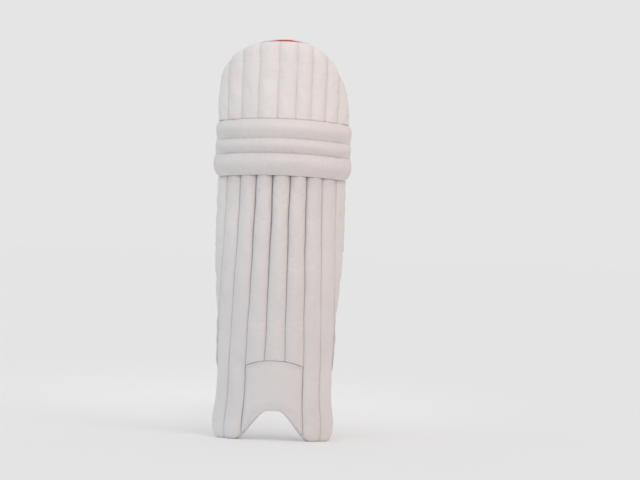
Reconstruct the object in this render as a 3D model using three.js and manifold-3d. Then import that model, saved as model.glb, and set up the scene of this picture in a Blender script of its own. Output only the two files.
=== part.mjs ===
// A batter's leg guard for cricket, standing on its two feet.
// Millimetres: x runs across the guard, -y is its face and z is up from the floor.
// In plan the guard is an arc round the front of the leg. Angles are measured from the middle of its face.
import * as THREE from 'three';
import { mergeVertices } from 'three/addons/utils/BufferGeometryUtils.js';
import Module from 'manifold-3d';

const manifold = await Module();
manifold.setup();
const { Manifold, Mesh } = manifold;
const { clamp, degToRad, lerp, smoothstep } = THREE.MathUtils;

// Driving dimensions.
const GUARD_HEIGHT = 690;
const KNEE_LOW = 456;
const KNEE_HIGH = 553;
const SEAM_GAP = 0.4;
const CANE_COUNT = 7;
const FOOT_CANES = 2;
const CANE_GROOVE = 7.5;
const CANE_WEB = 11;
const CANE_BACK = 4;
const CANE_DEPTH = CANE_GROOVE + CANE_WEB + CANE_BACK;
const CANE_ROW_CROWDING = 1.5;

// The shin, from the floor up: radius of the canes' outer face, how far forward that face stands,
// the width of one cane along the arc and the width of the wing beside the last cane.
const SHIN = [
  { z: 0, radius: 125, front: -133, pitch: 36.5, wing: 2 },
  { z: 30, radius: 123, front: -128, pitch: 36, wing: 2 },
  { z: 70, radius: 119, front: -124, pitch: 34.4, wing: 2 },
  { z: 130, radius: 116, front: -121, pitch: 34, wing: 2 },
  { z: 215, radius: 121, front: -120, pitch: 32.4, wing: 8.5 },
  { z: 270, radius: 124.5, front: -120, pitch: 31.6, wing: 22 },
  { z: 350, radius: 127, front: -119, pitch: 30.3, wing: 34 },
  { z: KNEE_LOW, radius: 127, front: -116, pitch: 29.8, wing: 36 },
];
const WING_LOW = 120;
const WING_TAPER = 60;
const WING_TAPER_FULLNESS = 0.3;
const WING_GROOVE = 6;
const WING_WEB = 7;
const WING_BACK = 2;

// The feet and the instep.
const ARCH_HEIGHT = 55;
const SOLE_PRESS = 4;
const ARCH_TOP_HALF = 8;
const ARCH_FOOT_HALF = 76;
const FOOT_CORNER = 34;
const FOOT_CORNER_RISE = 34;
const FOOT_ROUND = 20;
const FOOT_END_FULLNESS = 0.65;
const INSTEP_HIGH = 137;
const INSTEP_DROP = 10;
const INSTEP_SUNK = 2.5;
const INSTEP_EDGE_FULLNESS = 0.6;
const INSTEP_LINING_HIGH = 146;
const INSTEP_LINING_DEPTH = 5;

// The knee rolls, from the bottom up: the heights of each, how far it swells and the share of that swell left
// at its lower and upper seams.
const KNEE_RADIUS = 121;
const KNEE_REACH = degToRad(66);
const KNEE_HALF = 119;
const KNEE_BACK = 12;
const KNEE_DROOP = 5;
const CANE_DROOP_FROM = 0.5;
const KNEE_END_ROUND = 24;
const KNEE_END_FULLNESS = 0.35;
const KNEE_CORNER = 20;
const KNEE_CORNER_HIGH = 24;
const KNEE_SEAM_END_FULLNESS = 0.8;
const KNEE_FLUSH_FROM = 0.7;
const KNEE_ROLLS = [
  { name: 'knee_roll_lower', low: KNEE_LOW, high: 494, swell: 17, lowSeam: 0.4, highSeam: 0.5 },
  { name: 'knee_roll_middle', low: 494, high: 520, swell: 14, lowSeam: 0.5, highSeam: 0.5 },
  { name: 'knee_roll_upper', low: 520, high: KNEE_HIGH, swell: 14, lowSeam: 0.5, highSeam: 0.25 },
];

// The top hat: a domed flap that leans back a little and opens from the knee's curve to a flatter one, sewn
// into upright channels. The seams lie at these distances along its arc.
const HAT_SEAMS = [-150, -109, -77, -45, -11, 20, 47, 75, 103, 150];
const HAT_RADIUS_LOW = 131;
const HAT_RADIUS_HIGH = 150;
const HAT_FRONT_LOW = -114;
const HAT_FRONT_HIGH = -106;
const HAT_DEPTH = 17;
const HAT_GROOVE = 5;
const HAT_EDGE_DEPTH = 9;
const HAT_EDGE_BAND = 0.35;
const HAT_TUCK = 20;
const HAT_TUCK_FULLNESS = 0.9;
const HAT_APEX = -3;
const HAT_LEFT_HALF = 115;
const HAT_RIGHT_HALF = 118;
const HAT_LEFT_SPREAD = 2;
const HAT_RIGHT_SPREAD = 2.5;
const HAT_LEFT_POWER = 4;
const HAT_RIGHT_POWER = 2;
const HAT_LINING_DEPTH = 3;
const HAT_LINING_RISE = 2;
const HAT_LINING_INSET = 3;
const HAT_LINING_REACH = degToRad(68);
const HAT_SLAB_HIGH = GUARD_HEIGHT + 12;
const DOME_STEPS = 14;

// The padding inside.
const CUSHION_DEPTH = 12;
const CUSHION_ROLL = 8;
const CUSHION_ROLL_HIGH = 0.36;
const CUSHION_TOP_ROUND = 0.2;
const CUSHION_TOP_FULLNESS = 0.5;
const CUSHION_END_SHARE = 0.4;
const CUSHION_MARGIN = degToRad(1.5);
const LINING_HALF = 47;
const LINING_LOW = 147;
const LINING_DEPTH = 8;
const LINING_SIDE_ROUND = 0.2;
const LINING_SIDE_FULLNESS = 0.6;
const BOLSTER_LOW = 130;
const BOLSTER_DEPTH = 18;
const BOLSTER_EDGE = 7;
const BOLSTER_END_FULLNESS = 0.5;
const BOLSTER_REACH = degToRad(57);

// The straps, across the back: heights, thickness, bow of the middle away from the leg, where the white
// end lies from the middle, how far the strap drops from its sewn end and the heights of its stripe.
const STRAPS = [
  { name: 'knee', low: 476, high: 509, bow: 30, end: 93, drop: 0, stripeLow: 480.5, stripeHigh: 489 },
  { name: 'calf', low: 328, high: 383, bow: 27, end: 88, drop: 0, stripeLow: 333, stripeHigh: 347 },
  { name: 'ankle', low: 124, high: 156, bow: 38, end: 76, drop: 6, stripeLow: 127, stripeHigh: 135 },
];
const STRAP_DEPTH = 3;
const STRIPE_DEPTH = 1;
const STRIPE_INSET = 4;
const TAB_DEPTH = 1.8;
const TAB_INSET = 2;
const STRAP_QUARTER_BOW = 0.78;
const STRAP_WING_LEAST = 10;
const STRAP_POINTS = 12;
const STRAP_STEPS = 22;
const TAB_STEPS = 8;
const PATH_STEP = 0.002;
const KEEPER_PLACE = 70;
const KEEPER_WIDTH = 7;
const KEEPER_DEPTH = 1.6;
const KEEPER_CLEAR = 0.7;

// Cells across and up each bent block.
const CELLS = {
  footCane: [6, 15],
  cane: [6, 11],
  wing: [4, 12],
  instep: [10, 6],
  instepLining: [8, 5],
  kneeRoll: [18, 6],
  hatChannel: [4, 9],
  hatLining: [18, 7],
  cushion: [14, 8],
  calfLining: [6, 6],
  bolster: [5, 8],
};
const WELD = 1e-4;

const LEATHER_WHITE = { color: 0xe9e4e1, roughness: 0.55 };
const LINING_WHITE = { color: 0xe2dfe4, roughness: 0.8 };
const LINING_ORANGE = { color: 0xd9532f, roughness: 0.9 };
const STRAP_WHITE = { color: 0xeeeae6, roughness: 0.85 };
const STRIPE_RED = { color: 0xc4262b, roughness: 0.85 };
const TAB_CREAM = { color: 0xe9e2cc, roughness: 0.95 };

// Reads a table of rows as a smooth curve: the result gives every column at a height z.
function curveThrough(rows) {
  const columns = Object.keys(rows[0]).filter((column) => column !== 'z');
  const heights = rows.map((row) => row.z);
  const values = rows.flatMap((row) => columns.map((column) => row[column]));
  const curve = new THREE.CubicInterpolant(heights, values, columns.length);
  return (z) => {
    const found = curve.evaluate(clamp(z, heights[0], heights.at(-1)));
    return Object.fromEntries(columns.map((column, i) => [column, found[i]]));
  };
}

const shinAt = curveThrough(SHIN);

// The shin's plan at a height: the middle of its arc and the angle of one cane and of the guard's edge.
function shinPlan(z) {
  const row = shinAt(z);
  const seam = row.radius - CANE_GROOVE;
  const cane = row.pitch / seam;
  const canesEdge = (CANE_COUNT / 2) * cane;
  return { ...row, middle: row.front + row.radius, cane, canesEdge, edge: canesEdge + row.wing / seam };
}

function onArc(middle, radius, angle, z) {
  return new THREE.Vector3(radius * Math.sin(angle), middle - radius * Math.cos(angle), z);
}

// A padded section: nothing at its two seams and 1 in the middle.
function pillow(share) {
  return Math.sqrt(Math.max(0, 1 - (2 * share - 1) ** 2));
}

// Steps that crowd towards both seams, where the section turns quickly.
function seamSteps(share) {
  return 0.5 - 0.5 * Math.cos(Math.PI * share);
}

// A rounded end: the fullness left at the end itself, rising to 1 at the given distance from it.
function roundedEnd(distance, reach, fullness) {
  const share = clamp(distance / reach, 0, 1);
  return lerp(fullness, 1, Math.sqrt(1 - (1 - share) ** 2));
}

// A block of cells bent into shape: place gives the point for shares across, up and back to front.
function bentBlock([across, up], place) {
  const block = new THREE.BoxGeometry(1, 1, 1, across, up, 1);
  block.deleteAttribute('normal');
  block.deleteAttribute('uv');
  const corner = block.attributes.position;
  for (let i = 0; i < corner.count; i += 1) {
    const point = place(corner.getX(i) + 0.5, corner.getY(i) + 0.5, corner.getZ(i) + 0.5);
    corner.setXYZ(i, point.x, point.y, point.z);
  }
  return finished(block);
}

function finished(geometry) {
  const closed = mergeVertices(geometry, WELD);
  closed.computeVertexNormals();
  return closed;
}

function toSolid(geometry) {
  const closed = geometry.index ? geometry : finished(geometry);
  const mesh = new Mesh({
    numProp: 3,
    vertProperties: Float32Array.from(closed.attributes.position.array),
    triVerts: Uint32Array.from(closed.index.array),
  });
  mesh.merge();
  return new Manifold(mesh);
}

function toGeometry(solid) {
  const mesh = solid.getMesh();
  const geometry = new THREE.BufferGeometry();
  geometry.setAttribute('position', new THREE.BufferAttribute(Float32Array.from(mesh.vertProperties), 3));
  geometry.setIndex(Array.from(mesh.triVerts));
  return finished(geometry);
}

const root = new THREE.Group();
root.name = 'batters_leg_guard';
const guard = new THREE.Group();
guard.name = 'guard_about_its_arc';
root.add(guard);

function addPiece(name, geometry, look) {
  const piece = new THREE.Mesh(geometry, new THREE.MeshStandardMaterial(look));
  piece.name = name;
  guard.add(piece);
}

// The knee's seams droop a little towards the sides. A point that is placed as if they were level is
// lowered to suit, on the rolls and on what meets them above and below.
function drooped(point, share = 1) {
  point.z -= share * KNEE_DROOP * (point.x / KNEE_HALF) ** 2;
  return point;
}

// The lower edge of the shin, by distance across: the arch between the feet, the rounded outer corner of
// each foot, and the flat sole that the padding makes where it is pressed on the floor.
function lowerEdge(angle, depth = CANE_GROOVE) {
  const floor = shinPlan(0);
  const across = Math.abs((floor.radius - depth) * Math.sin(angle));
  const arch = ARCH_HEIGHT * (1 - smoothstep(across, ARCH_TOP_HALF, ARCH_FOOT_HALF));
  const toEdge = (floor.canesEdge - Math.abs(angle)) * floor.radius;
  const corner = clamp(1 - toEdge / FOOT_CORNER, 0, 1);
  const rise = FOOT_CORNER_RISE * (1 - Math.sqrt(1 - corner ** 2));
  return Math.max(0, arch + rise - SOLE_PRESS);
}

// The arched seam where the instep panel covers the ends of the middle canes.
function instepSeam(angle, plan) {
  const share = angle / ((CANE_COUNT / 2 - FOOT_CANES) * plan.cane);
  return INSTEP_HIGH - INSTEP_DROP * share ** 2;
}

// Upright canes: the outer two on each side run down into a foot and the middle three stop at the instep.
for (let number = 1; number <= CANE_COUNT; number += 1) {
  const isFoot = number <= FOOT_CANES || number > CANE_COUNT - FOOT_CANES;
  const ankle = shinPlan(INSTEP_HIGH);
  const floor = shinPlan(0);
  const cane = bentBlock(isFoot ? CELLS.footCane : CELLS.cane, (u, v, w) => {
    const share = seamSteps(u);
    const canesFromMiddle = number - 1 + share - CANE_COUNT / 2;
    const low = isFoot
      ? lowerEdge(canesFromMiddle * floor.cane)
      : instepSeam(canesFromMiddle * ankle.cane, ankle) + SEAM_GAP / 2;
    const z = lerp(low, KNEE_LOW - SEAM_GAP, v ** CANE_ROW_CROWDING);
    const plan = shinPlan(z);
    const inset = (0.5 - share) * SEAM_GAP / plan.radius;
    const full = pillow(share) * roundedEnd(z - low, FOOT_ROUND, FOOT_END_FULLNESS);
    const face = plan.radius - CANE_GROOVE * (1 - full);
    const back = plan.radius - CANE_GROOVE - CANE_WEB - CANE_BACK * full;
    const point = onArc(plan.middle, lerp(back, face, w), canesFromMiddle * plan.cane + inset, z);
    return drooped(point, smoothstep(v, CANE_DROOP_FROM, 1));
  });
  addPiece(`shin_cane_${number}`, cane, LEATHER_WHITE);
}

// Wings: tapered ribs that carry the face round beside the calf.
for (const [side, sign] of [['left', -1], ['right', 1]]) {
  const wing = bentBlock(CELLS.wing, (u, v, w) => {
    const share = seamSteps(sign > 0 ? u : 1 - u);
    const z = lerp(WING_LOW, KNEE_LOW - SEAM_GAP, v);
    const plan = shinPlan(z);
    const full = pillow(share);
    const taper = roundedEnd(z - WING_LOW, WING_TAPER, WING_TAPER_FULLNESS);
    const seam = plan.radius - CANE_GROOVE;
    const face = seam + WING_GROOVE * full * taper;
    const back = seam - (WING_WEB + WING_BACK * full) * taper;
    const angle = lerp(plan.canesEdge + SEAM_GAP / seam, plan.edge, share);
    return drooped(onArc(plan.middle, lerp(back, face, w), sign * angle, z), v);
  });
  addPiece(`wing_${side}`, wing, LEATHER_WHITE);
}

// Instep: a smooth padded patch between the feet with the shoe's arch below, and its lining.
function instepPatch(cells, high, faceDepth, backDepth, edgeFullness) {
  return bentBlock(cells, (u, v, w) => {
    const side = 2 * u - 1;
    const halfCanes = CANE_COUNT / 2 - FOOT_CANES;
    const low = lowerEdge(side * halfCanes * shinPlan(0).cane, Math.max(CANE_GROOVE, faceDepth));
    const z = lerp(low, high(side * halfCanes * shinPlan(INSTEP_HIGH).cane), v);
    const plan = shinPlan(z);
    const angle = side * (halfCanes * plan.cane - SEAM_GAP / plan.radius);
    const toEdge = Math.min(z - low, (1 - Math.abs(side)) * LINING_HALF);
    const full = roundedEnd(toEdge, FOOT_ROUND, edgeFullness);
    const centre = (faceDepth + backDepth) / 2;
    const depth = centre + (lerp(backDepth, faceDepth, w) - centre) * full;
    return onArc(plan.middle, plan.radius - depth, angle, z);
  });
}
const instepHigh = (angle) => instepSeam(angle, shinPlan(INSTEP_HIGH)) - SEAM_GAP / 2;
const instep = instepPatch(CELLS.instep, instepHigh, INSTEP_SUNK, CANE_DEPTH, INSTEP_EDGE_FULLNESS);
addPiece('instep_panel', instep, LEATHER_WHITE);
const liningFace = CANE_DEPTH + SEAM_GAP;
const liningBack = liningFace + INSTEP_LINING_DEPTH;
const liningHigh = () => INSTEP_LINING_HIGH;
const instepLining = instepPatch(CELLS.instepLining, liningHigh, liningFace, liningBack, 1);
addPiece('instep_lining', instepLining, LINING_WHITE);

// How far round the leg the knee reaches at a height: its lower corners are rounded off.
function kneeReach(z) {
  const corner = clamp(1 - (z - KNEE_LOW) / KNEE_CORNER_HIGH, 0, 1);
  return KNEE_REACH - (KNEE_CORNER / KNEE_RADIUS) * (1 - Math.sqrt(1 - corner ** 2));
}

// Knee rolls: three horizontal rolls sewn one above the other, closed and rounded at both ends. The seams
// between them grow shallow towards the ends.
const kneeMiddle = shinPlan(KNEE_LOW).middle;
for (const roll of KNEE_ROLLS) {
  const tube = bentBlock(CELLS.kneeRoll, (u, v, w) => {
    const share = seamSteps(v);
    const z = lerp(roll.low + SEAM_GAP / 2, roll.high - SEAM_GAP / 2, share);
    const reach = kneeReach(z);
    const angle = lerp(-reach, reach, u);
    const toEnd = (reach - Math.abs(angle)) * KNEE_RADIUS;
    const nearEnd = smoothstep(Math.abs(angle) / reach, KNEE_FLUSH_FROM, 1);
    const atSeam = lerp(share < 0.5 ? roll.lowSeam : roll.highSeam, KNEE_SEAM_END_FULLNESS, nearEnd);
    const full = lerp(atSeam, 1, pillow(share)) * roundedEnd(toEnd, KNEE_END_ROUND, KNEE_END_FULLNESS);
    return drooped(onArc(kneeMiddle, KNEE_RADIUS + lerp(-KNEE_BACK, roll.swell * full, w), angle, z));
  });
  addPiece(roll.name, tube, LEATHER_WHITE);
}

// The top hat is a curved slab of channels, trimmed to a dome that is squarer on one shoulder.
function hatSpan(offset) {
  const isLeft = offset < HAT_APEX;
  const share = Math.abs(offset - HAT_APEX) / (isLeft ? HAT_LEFT_HALF : HAT_RIGHT_HALF);
  const spread = isLeft ? HAT_LEFT_SPREAD : HAT_RIGHT_SPREAD;
  return { across: share ** spread, power: isLeft ? HAT_LEFT_POWER : HAT_RIGHT_POWER };
}

function domeTrim(inset, rise) {
  const outline = new THREE.Shape();
  const high = GUARD_HEIGHT - KNEE_HIGH + rise;
  const corner = (turn, half, spread, power, sign) => {
    const across = HAT_APEX + sign * (half - inset) * Math.sin(turn) ** (2 / spread);
    return [across, KNEE_HIGH + high * Math.cos(turn) ** (2 / power)];
  };
  outline.moveTo(HAT_APEX + HAT_RIGHT_HALF - inset, KNEE_HIGH - HAT_DEPTH);
  outline.lineTo(HAT_APEX - HAT_LEFT_HALF + inset, KNEE_HIGH - HAT_DEPTH);
  for (let i = 0; i <= DOME_STEPS; i += 1) {
    const turn = (Math.PI / 2) * (1 - i / DOME_STEPS);
    outline.lineTo(...corner(turn, HAT_LEFT_HALF, HAT_LEFT_SPREAD, HAT_LEFT_POWER, -1));
  }
  for (let i = 1; i <= DOME_STEPS; i += 1) {
    const turn = (Math.PI / 2) * (i / DOME_STEPS);
    outline.lineTo(...corner(turn, HAT_RIGHT_HALF, HAT_RIGHT_SPREAD, HAT_RIGHT_POWER, 1));
  }
  const deep = 3 * HAT_RADIUS_HIGH;
  const prism = new THREE.ExtrudeGeometry(outline, { depth: deep, bevelEnabled: false });
  prism.deleteAttribute('normal');
  prism.deleteAttribute('uv');
  prism.rotateX(Math.PI / 2);
  prism.translate(0, deep / 2, 0);
  return toSolid(prism);
}

function hatFrame(z) {
  const share = (z - KNEE_HIGH) / (GUARD_HEIGHT - KNEE_HIGH);
  const radius = lerp(HAT_RADIUS_LOW, HAT_RADIUS_HIGH, share);
  return { middle: lerp(HAT_FRONT_LOW, HAT_FRONT_HIGH, share) + radius, radius, share };
}

const hatChannels = HAT_SEAMS.length - 1;
const hatCells = [hatChannels * CELLS.hatChannel[0], CELLS.hatChannel[1]];
const hatSlab = bentBlock(hatCells, (u, v, w) => {
  const channel = Math.min(Math.floor(u * hatChannels + WELD), hatChannels - 1);
  const share = seamSteps(u * hatChannels - channel);
  const z = lerp(KNEE_HIGH + SEAM_GAP, HAT_SLAB_HIGH, v);
  const frame = hatFrame(z);
  const angle = lerp(HAT_SEAMS[channel], HAT_SEAMS[channel + 1], share) / (frame.radius - HAT_GROOVE);
  const span = hatSpan(frame.radius * Math.sin(angle));
  const inside = 1 - span.across - frame.share ** span.power;
  const edge = roundedEnd(inside, HAT_EDGE_BAND, HAT_EDGE_DEPTH / HAT_DEPTH);
  const tuck = roundedEnd(z - KNEE_HIGH, HAT_TUCK, HAT_TUCK_FULLNESS);
  const depth = (HAT_DEPTH - HAT_GROOVE * (1 - pillow(share))) * Math.min(edge, tuck);
  return drooped(onArc(frame.middle, frame.radius - HAT_DEPTH + depth * w, angle, z), 1 - v);
});
const hat = toGeometry(toSolid(hatSlab).intersect(domeTrim(0, 0)));
addPiece('top_hat', hat, LEATHER_WHITE);

// Its lining, a sheet on the back of the hat that shows a little above the top edge.
const liningSlab = bentBlock(CELLS.hatLining, (u, v, w) => {
  const angle = lerp(-1, 1, u) * HAT_LINING_REACH;
  const z = lerp(KNEE_HIGH + SEAM_GAP, HAT_SLAB_HIGH, v);
  const frame = hatFrame(z);
  const face = frame.radius - HAT_DEPTH - SEAM_GAP;
  return drooped(onArc(frame.middle, face - HAT_LINING_DEPTH * (1 - w), angle, z), 1 - v);
});
const hatLining = toGeometry(toSolid(liningSlab).intersect(domeTrim(HAT_LINING_INSET, HAT_LINING_RISE)));
addPiece('top_hat_lining', hatLining, LINING_ORANGE);

// Knee cushion: a band inside the knee rolls with a fuller roll along its lower edge.
const cushion = bentBlock(CELLS.cushion, (u, v, w) => {
  const z = lerp(KNEE_LOW + KNEE_DROOP, KNEE_HIGH - SEAM_GAP, v);
  const reach = kneeReach(z);
  const angle = lerp(-1, 1, u) * (reach - CUSHION_MARGIN);
  const toEnd = (reach - Math.abs(angle)) * KNEE_RADIUS;
  const round = roundedEnd(toEnd, KNEE_END_ROUND, KNEE_END_FULLNESS);
  const roll = v < CUSHION_ROLL_HIGH ? pillow(v / CUSHION_ROLL_HIGH) : 0;
  const upper = roundedEnd(1 - v, CUSHION_TOP_ROUND, CUSHION_TOP_FULLNESS);
  const deep = (CUSHION_DEPTH * upper + CUSHION_ROLL * roll) * round;
  const face = KNEE_RADIUS - KNEE_BACK - SEAM_GAP;
  return drooped(onArc(kneeMiddle, face - deep * (1 - w), angle, z));
});
addPiece('knee_cushion', cushion, LEATHER_WHITE);

// Calf lining and the bolsters beside it, on the backs of the canes.
const padHigh = KNEE_LOW - SEAM_GAP;
const calfLining = bentBlock(CELLS.calfLining, (u, v, w) => {
  const z = lerp(LINING_LOW, padHigh, v);
  const plan = shinPlan(z);
  const angle = Math.asin(LINING_HALF / (plan.radius - CANE_DEPTH)) * lerp(-1, 1, u);
  const deep = LINING_DEPTH * roundedEnd(Math.min(u, 1 - u), LINING_SIDE_ROUND, LINING_SIDE_FULLNESS);
  return onArc(plan.middle, plan.radius - CANE_DEPTH - SEAM_GAP - deep * (1 - w), angle, z);
});
addPiece('calf_lining', calfLining, LINING_ORANGE);

for (const [side, sign] of [['left', -1], ['right', 1]]) {
  const bolster = bentBlock(CELLS.bolster, (u, v, w) => {
    const share = seamSteps(sign > 0 ? u : 1 - u);
    const z = lerp(BOLSTER_LOW, padHigh, v);
    const plan = shinPlan(z);
    const beside = Math.asin((LINING_HALF + SEAM_GAP) / (plan.radius - CANE_DEPTH));
    const start = beside + SEAM_GAP / plan.radius;
    const ends = roundedEnd(Math.min(z - BOLSTER_LOW, padHigh - z), FOOT_ROUND, BOLSTER_END_FULLNESS);
    const deep = lerp(BOLSTER_EDGE, BOLSTER_DEPTH, pillow(share)) * ends;
    const face = plan.radius - CANE_DEPTH - SEAM_GAP;
    return onArc(plan.middle, face - deep * (1 - w), sign * lerp(start, BOLSTER_REACH, share), z);
  });
  addPiece(`side_bolster_${side}`, bolster, LINING_WHITE);
}

// The guard's edge in plan at a strap: its angle and the radius of its inner and outer corners.
function edgeAt(z) {
  if (z > KNEE_LOW) {
    return {
      middle: kneeMiddle,
      angle: KNEE_REACH,
      inner: KNEE_RADIUS - KNEE_BACK - CUSHION_DEPTH * CUSHION_END_SHARE,
      outer: KNEE_RADIUS + KNEE_ROLLS[0].swell * KNEE_END_FULLNESS,
    };
  }
  const plan = shinPlan(z);
  const outer = plan.radius - CANE_GROOVE;
  const inner = outer - (plan.wing > STRAP_WING_LEAST ? WING_WEB : CANE_WEB);
  return { middle: plan.middle, angle: plan.edge, inner, outer };
}

// A flat band of even thickness along a plan curve, standing between two heights.
function band(points, depth, low, high, steps) {
  const curve = new THREE.CatmullRomCurve3(points, false, 'centripetal');
  const outside = [];
  const inside = [];
  for (let i = 0; i <= steps; i += 1) {
    const point = curve.getPointAt(i / steps);
    const along = curve.getTangentAt(i / steps);
    const out = new THREE.Vector2(-along.y, along.x).multiplyScalar(depth / 2);
    outside.push(new THREE.Vector2(point.x + out.x, point.y + out.y));
    inside.unshift(new THREE.Vector2(point.x - out.x, point.y - out.y));
  }
  const shape = new THREE.Shape([...outside, ...inside]);
  const solid = new THREE.ExtrudeGeometry(shape, { depth: high - low, bevelEnabled: false });
  solid.deleteAttribute('normal');
  solid.deleteAttribute('uv');
  solid.translate(0, 0, low);
  return finished(solid);
}

// A flat loop round a strap and its stripe, at a point of the strap's path.
function keeperRound(strap, point, along) {
  const front = STRAP_DEPTH / 2 + KEEPER_CLEAR;
  const back = STRAP_DEPTH / 2 + SEAM_GAP + STRIPE_DEPTH + KEEPER_CLEAR;
  const low = strap.low - KEEPER_CLEAR;
  const high = strap.high + KEEPER_CLEAR;
  const rectangle = (grow) => [
    new THREE.Vector2(-back - grow, low - grow),
    new THREE.Vector2(front + grow, low - grow),
    new THREE.Vector2(front + grow, high + grow),
    new THREE.Vector2(-back - grow, high + grow),
  ];
  const outline = new THREE.Shape(rectangle(KEEPER_DEPTH));
  outline.holes.push(new THREE.Path(rectangle(0)));
  const loop = new THREE.ExtrudeGeometry(outline, { depth: KEEPER_WIDTH, bevelEnabled: false });
  loop.deleteAttribute('normal');
  loop.deleteAttribute('uv');
  loop.translate(0, 0, -KEEPER_WIDTH / 2);
  const up = new THREE.Vector3(0, 0, 1);
  const away = new THREE.Vector3().crossVectors(up, along).normalize();
  loop.applyMatrix4(new THREE.Matrix4().makeBasis(away, up, along).setPosition(point));
  return finished(loop);
}

// Straps: sewn to the right edge, bowed across behind the leg, with a gripping end on the left edge.
for (const strap of STRAPS) {
  const edges = [strap.low, (strap.low + strap.high) / 2, strap.high].map(edgeAt);
  const clear = SEAM_GAP + STRAP_DEPTH / 2;
  const corner = (edge, radius) => {
    const point = onArc(edge.middle, radius, edge.angle, 0);
    point.x += Math.cos(edge.angle) * clear;
    point.y += Math.sin(edge.angle) * clear;
    return point;
  };
  const rearmost = (points) => points.reduce((a, b) => (a.y > b.y ? a : b));
  const innerCorner = rearmost(edges.map((edge) => corner(edge, edge.inner)));
  const outerCorner = rearmost(edges.map((edge) => corner(edge, edge.outer)));
  const middle = new THREE.Vector3(0, innerCorner.y + strap.bow, 0);
  const quarter = new THREE.Vector3(innerCorner.x / 2, innerCorner.y + STRAP_QUARTER_BOW * strap.bow, 0);
  const mirrored = (point) => new THREE.Vector3(-point.x, point.y, 0);
  const corners = [outerCorner, innerCorner, quarter, middle, mirrored(quarter), mirrored(innerCorner)];
  const path = new THREE.CatmullRomCurve3(corners, false, 'centripetal');
  const length = path.getLength();
  const placeWhere = (isReached) => {
    let place = 0;
    while (!isReached(path.getPointAt(place))) {
      place += PATH_STEP;
    }
    return place;
  };
  const pathPoints = (from, to) => {
    const points = [];
    for (let i = 0; i <= STRAP_POINTS; i += 1) {
      points.push(path.getPointAt(lerp(from, to, i / STRAP_POINTS)));
    }
    return points;
  };
  const end = placeWhere((point) => point.x < -strap.end);
  const shear = new THREE.Matrix4().makeShear(0, strap.drop / (2 * strap.end), 0, 0, 0, 0);
  const addSloping = (name, geometry, look) => {
    if (strap.drop) {
      geometry.applyMatrix4(shear);
    }
    addPiece(`${strap.name}_${name}`, geometry, look);
  };

  const white = pathPoints(0, end);
  addSloping('strap', band(white, STRAP_DEPTH, strap.low, strap.high, STRAP_STEPS), STRAP_WHITE);

  const inset = STRIPE_INSET / length;
  const under = pathPoints(inset, end - inset);
  const underCurve = new THREE.CatmullRomCurve3(under, false, 'centripetal');
  const lift = STRAP_DEPTH / 2 + SEAM_GAP + STRIPE_DEPTH / 2;
  const lifted = under.map((point, i) => {
    const along = underCurve.getTangent(i / STRAP_POINTS);
    return new THREE.Vector3(point.x + along.y * lift, point.y - along.x * lift, 0);
  });
  const stripe = band(lifted, STRIPE_DEPTH, strap.stripeLow, strap.stripeHigh, STRAP_STEPS);
  addSloping('stripe', stripe, STRIPE_RED);

  const tabPath = [path.getPointAt(end + SEAM_GAP / length), mirrored(innerCorner), mirrored(outerCorner)];
  const tab = band(tabPath, TAB_DEPTH, strap.low + TAB_INSET, strap.high - TAB_INSET, TAB_STEPS);
  addSloping('tab', tab, TAB_CREAM);

  if (strap.name === 'ankle') {
    const place = placeWhere((point) => point.x < KEEPER_PLACE);
    const keeper = keeperRound(strap, path.getPointAt(place), path.getTangentAt(place));
    addSloping('keeper', keeper, STRAP_WHITE);
  }
}

// The origin is under the middle of the whole guard, on the floor.
const bounds = new THREE.Box3().setFromObject(guard);
const centre = bounds.getCenter(new THREE.Vector3());
guard.position.set(-centre.x, -centre.y, -bounds.min.z);
root.updateMatrixWorld(true);

export default root;
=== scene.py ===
import math

import bpy
import numpy as np
from mathutils.kdtree import KDTree
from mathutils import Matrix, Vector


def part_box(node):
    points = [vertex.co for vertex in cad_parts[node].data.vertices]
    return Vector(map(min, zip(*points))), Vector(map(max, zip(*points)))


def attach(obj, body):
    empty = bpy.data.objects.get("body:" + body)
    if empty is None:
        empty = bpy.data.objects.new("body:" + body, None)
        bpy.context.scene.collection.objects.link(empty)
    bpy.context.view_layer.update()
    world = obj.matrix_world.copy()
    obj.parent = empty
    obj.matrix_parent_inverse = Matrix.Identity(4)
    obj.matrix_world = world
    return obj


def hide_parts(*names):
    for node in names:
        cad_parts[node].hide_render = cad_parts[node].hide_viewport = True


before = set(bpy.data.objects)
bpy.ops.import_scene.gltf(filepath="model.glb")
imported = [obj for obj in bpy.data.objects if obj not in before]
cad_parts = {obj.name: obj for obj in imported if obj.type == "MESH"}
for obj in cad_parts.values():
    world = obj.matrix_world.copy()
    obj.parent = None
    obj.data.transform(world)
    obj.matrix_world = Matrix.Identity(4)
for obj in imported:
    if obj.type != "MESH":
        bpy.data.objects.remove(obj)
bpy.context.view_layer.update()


# Shin canes. Seven upright tubes of stuffing under one skin of white coated leather, parted by rows of
# sewing that pull deep grooves between them. The outer two on each side run down into the feet, and the
# middle three stop at the instep patch.
MM = 0.001
KNEE_LOW, KNEE_HIGH = 456.0, 553.0
SEAM_GAP, TIGHT_GAP = 0.4, 0.04
CANE_COUNT, FOOT_CANES = 7, 2
CANE_GROOVE, CANE_WEB, CANE_BACK = 7.5, 11.0, 4.0
CANE_DEPTH = CANE_GROOVE + CANE_WEB + CANE_BACK
# Painted shadow on the canes just under the lower knee roll: its strength and how far down it fades.
KNEE_SHADOW, KNEE_SHADOW_REACH = 0.42, 22.0
CANE_SEAM_DEPTH = (0.45, 0.75, 1.0, 1.1, 1.0, 1.0, 0.7, 0.4)
KNEE_RADIUS, KNEE_HALF, KNEE_DROOP = 121.0, 119.0, 5.0
KNEE_REACH = math.radians(66)
LOWER_ROLL_SWELL = 17.0
SHIN_HEIGHTS = np.array([0, 30, 70, 130, 215, 270, 350, KNEE_LOW])
SHIN_RADIUS = np.array([125, 123, 119, 116, 121, 124.5, 127, 127])
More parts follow.
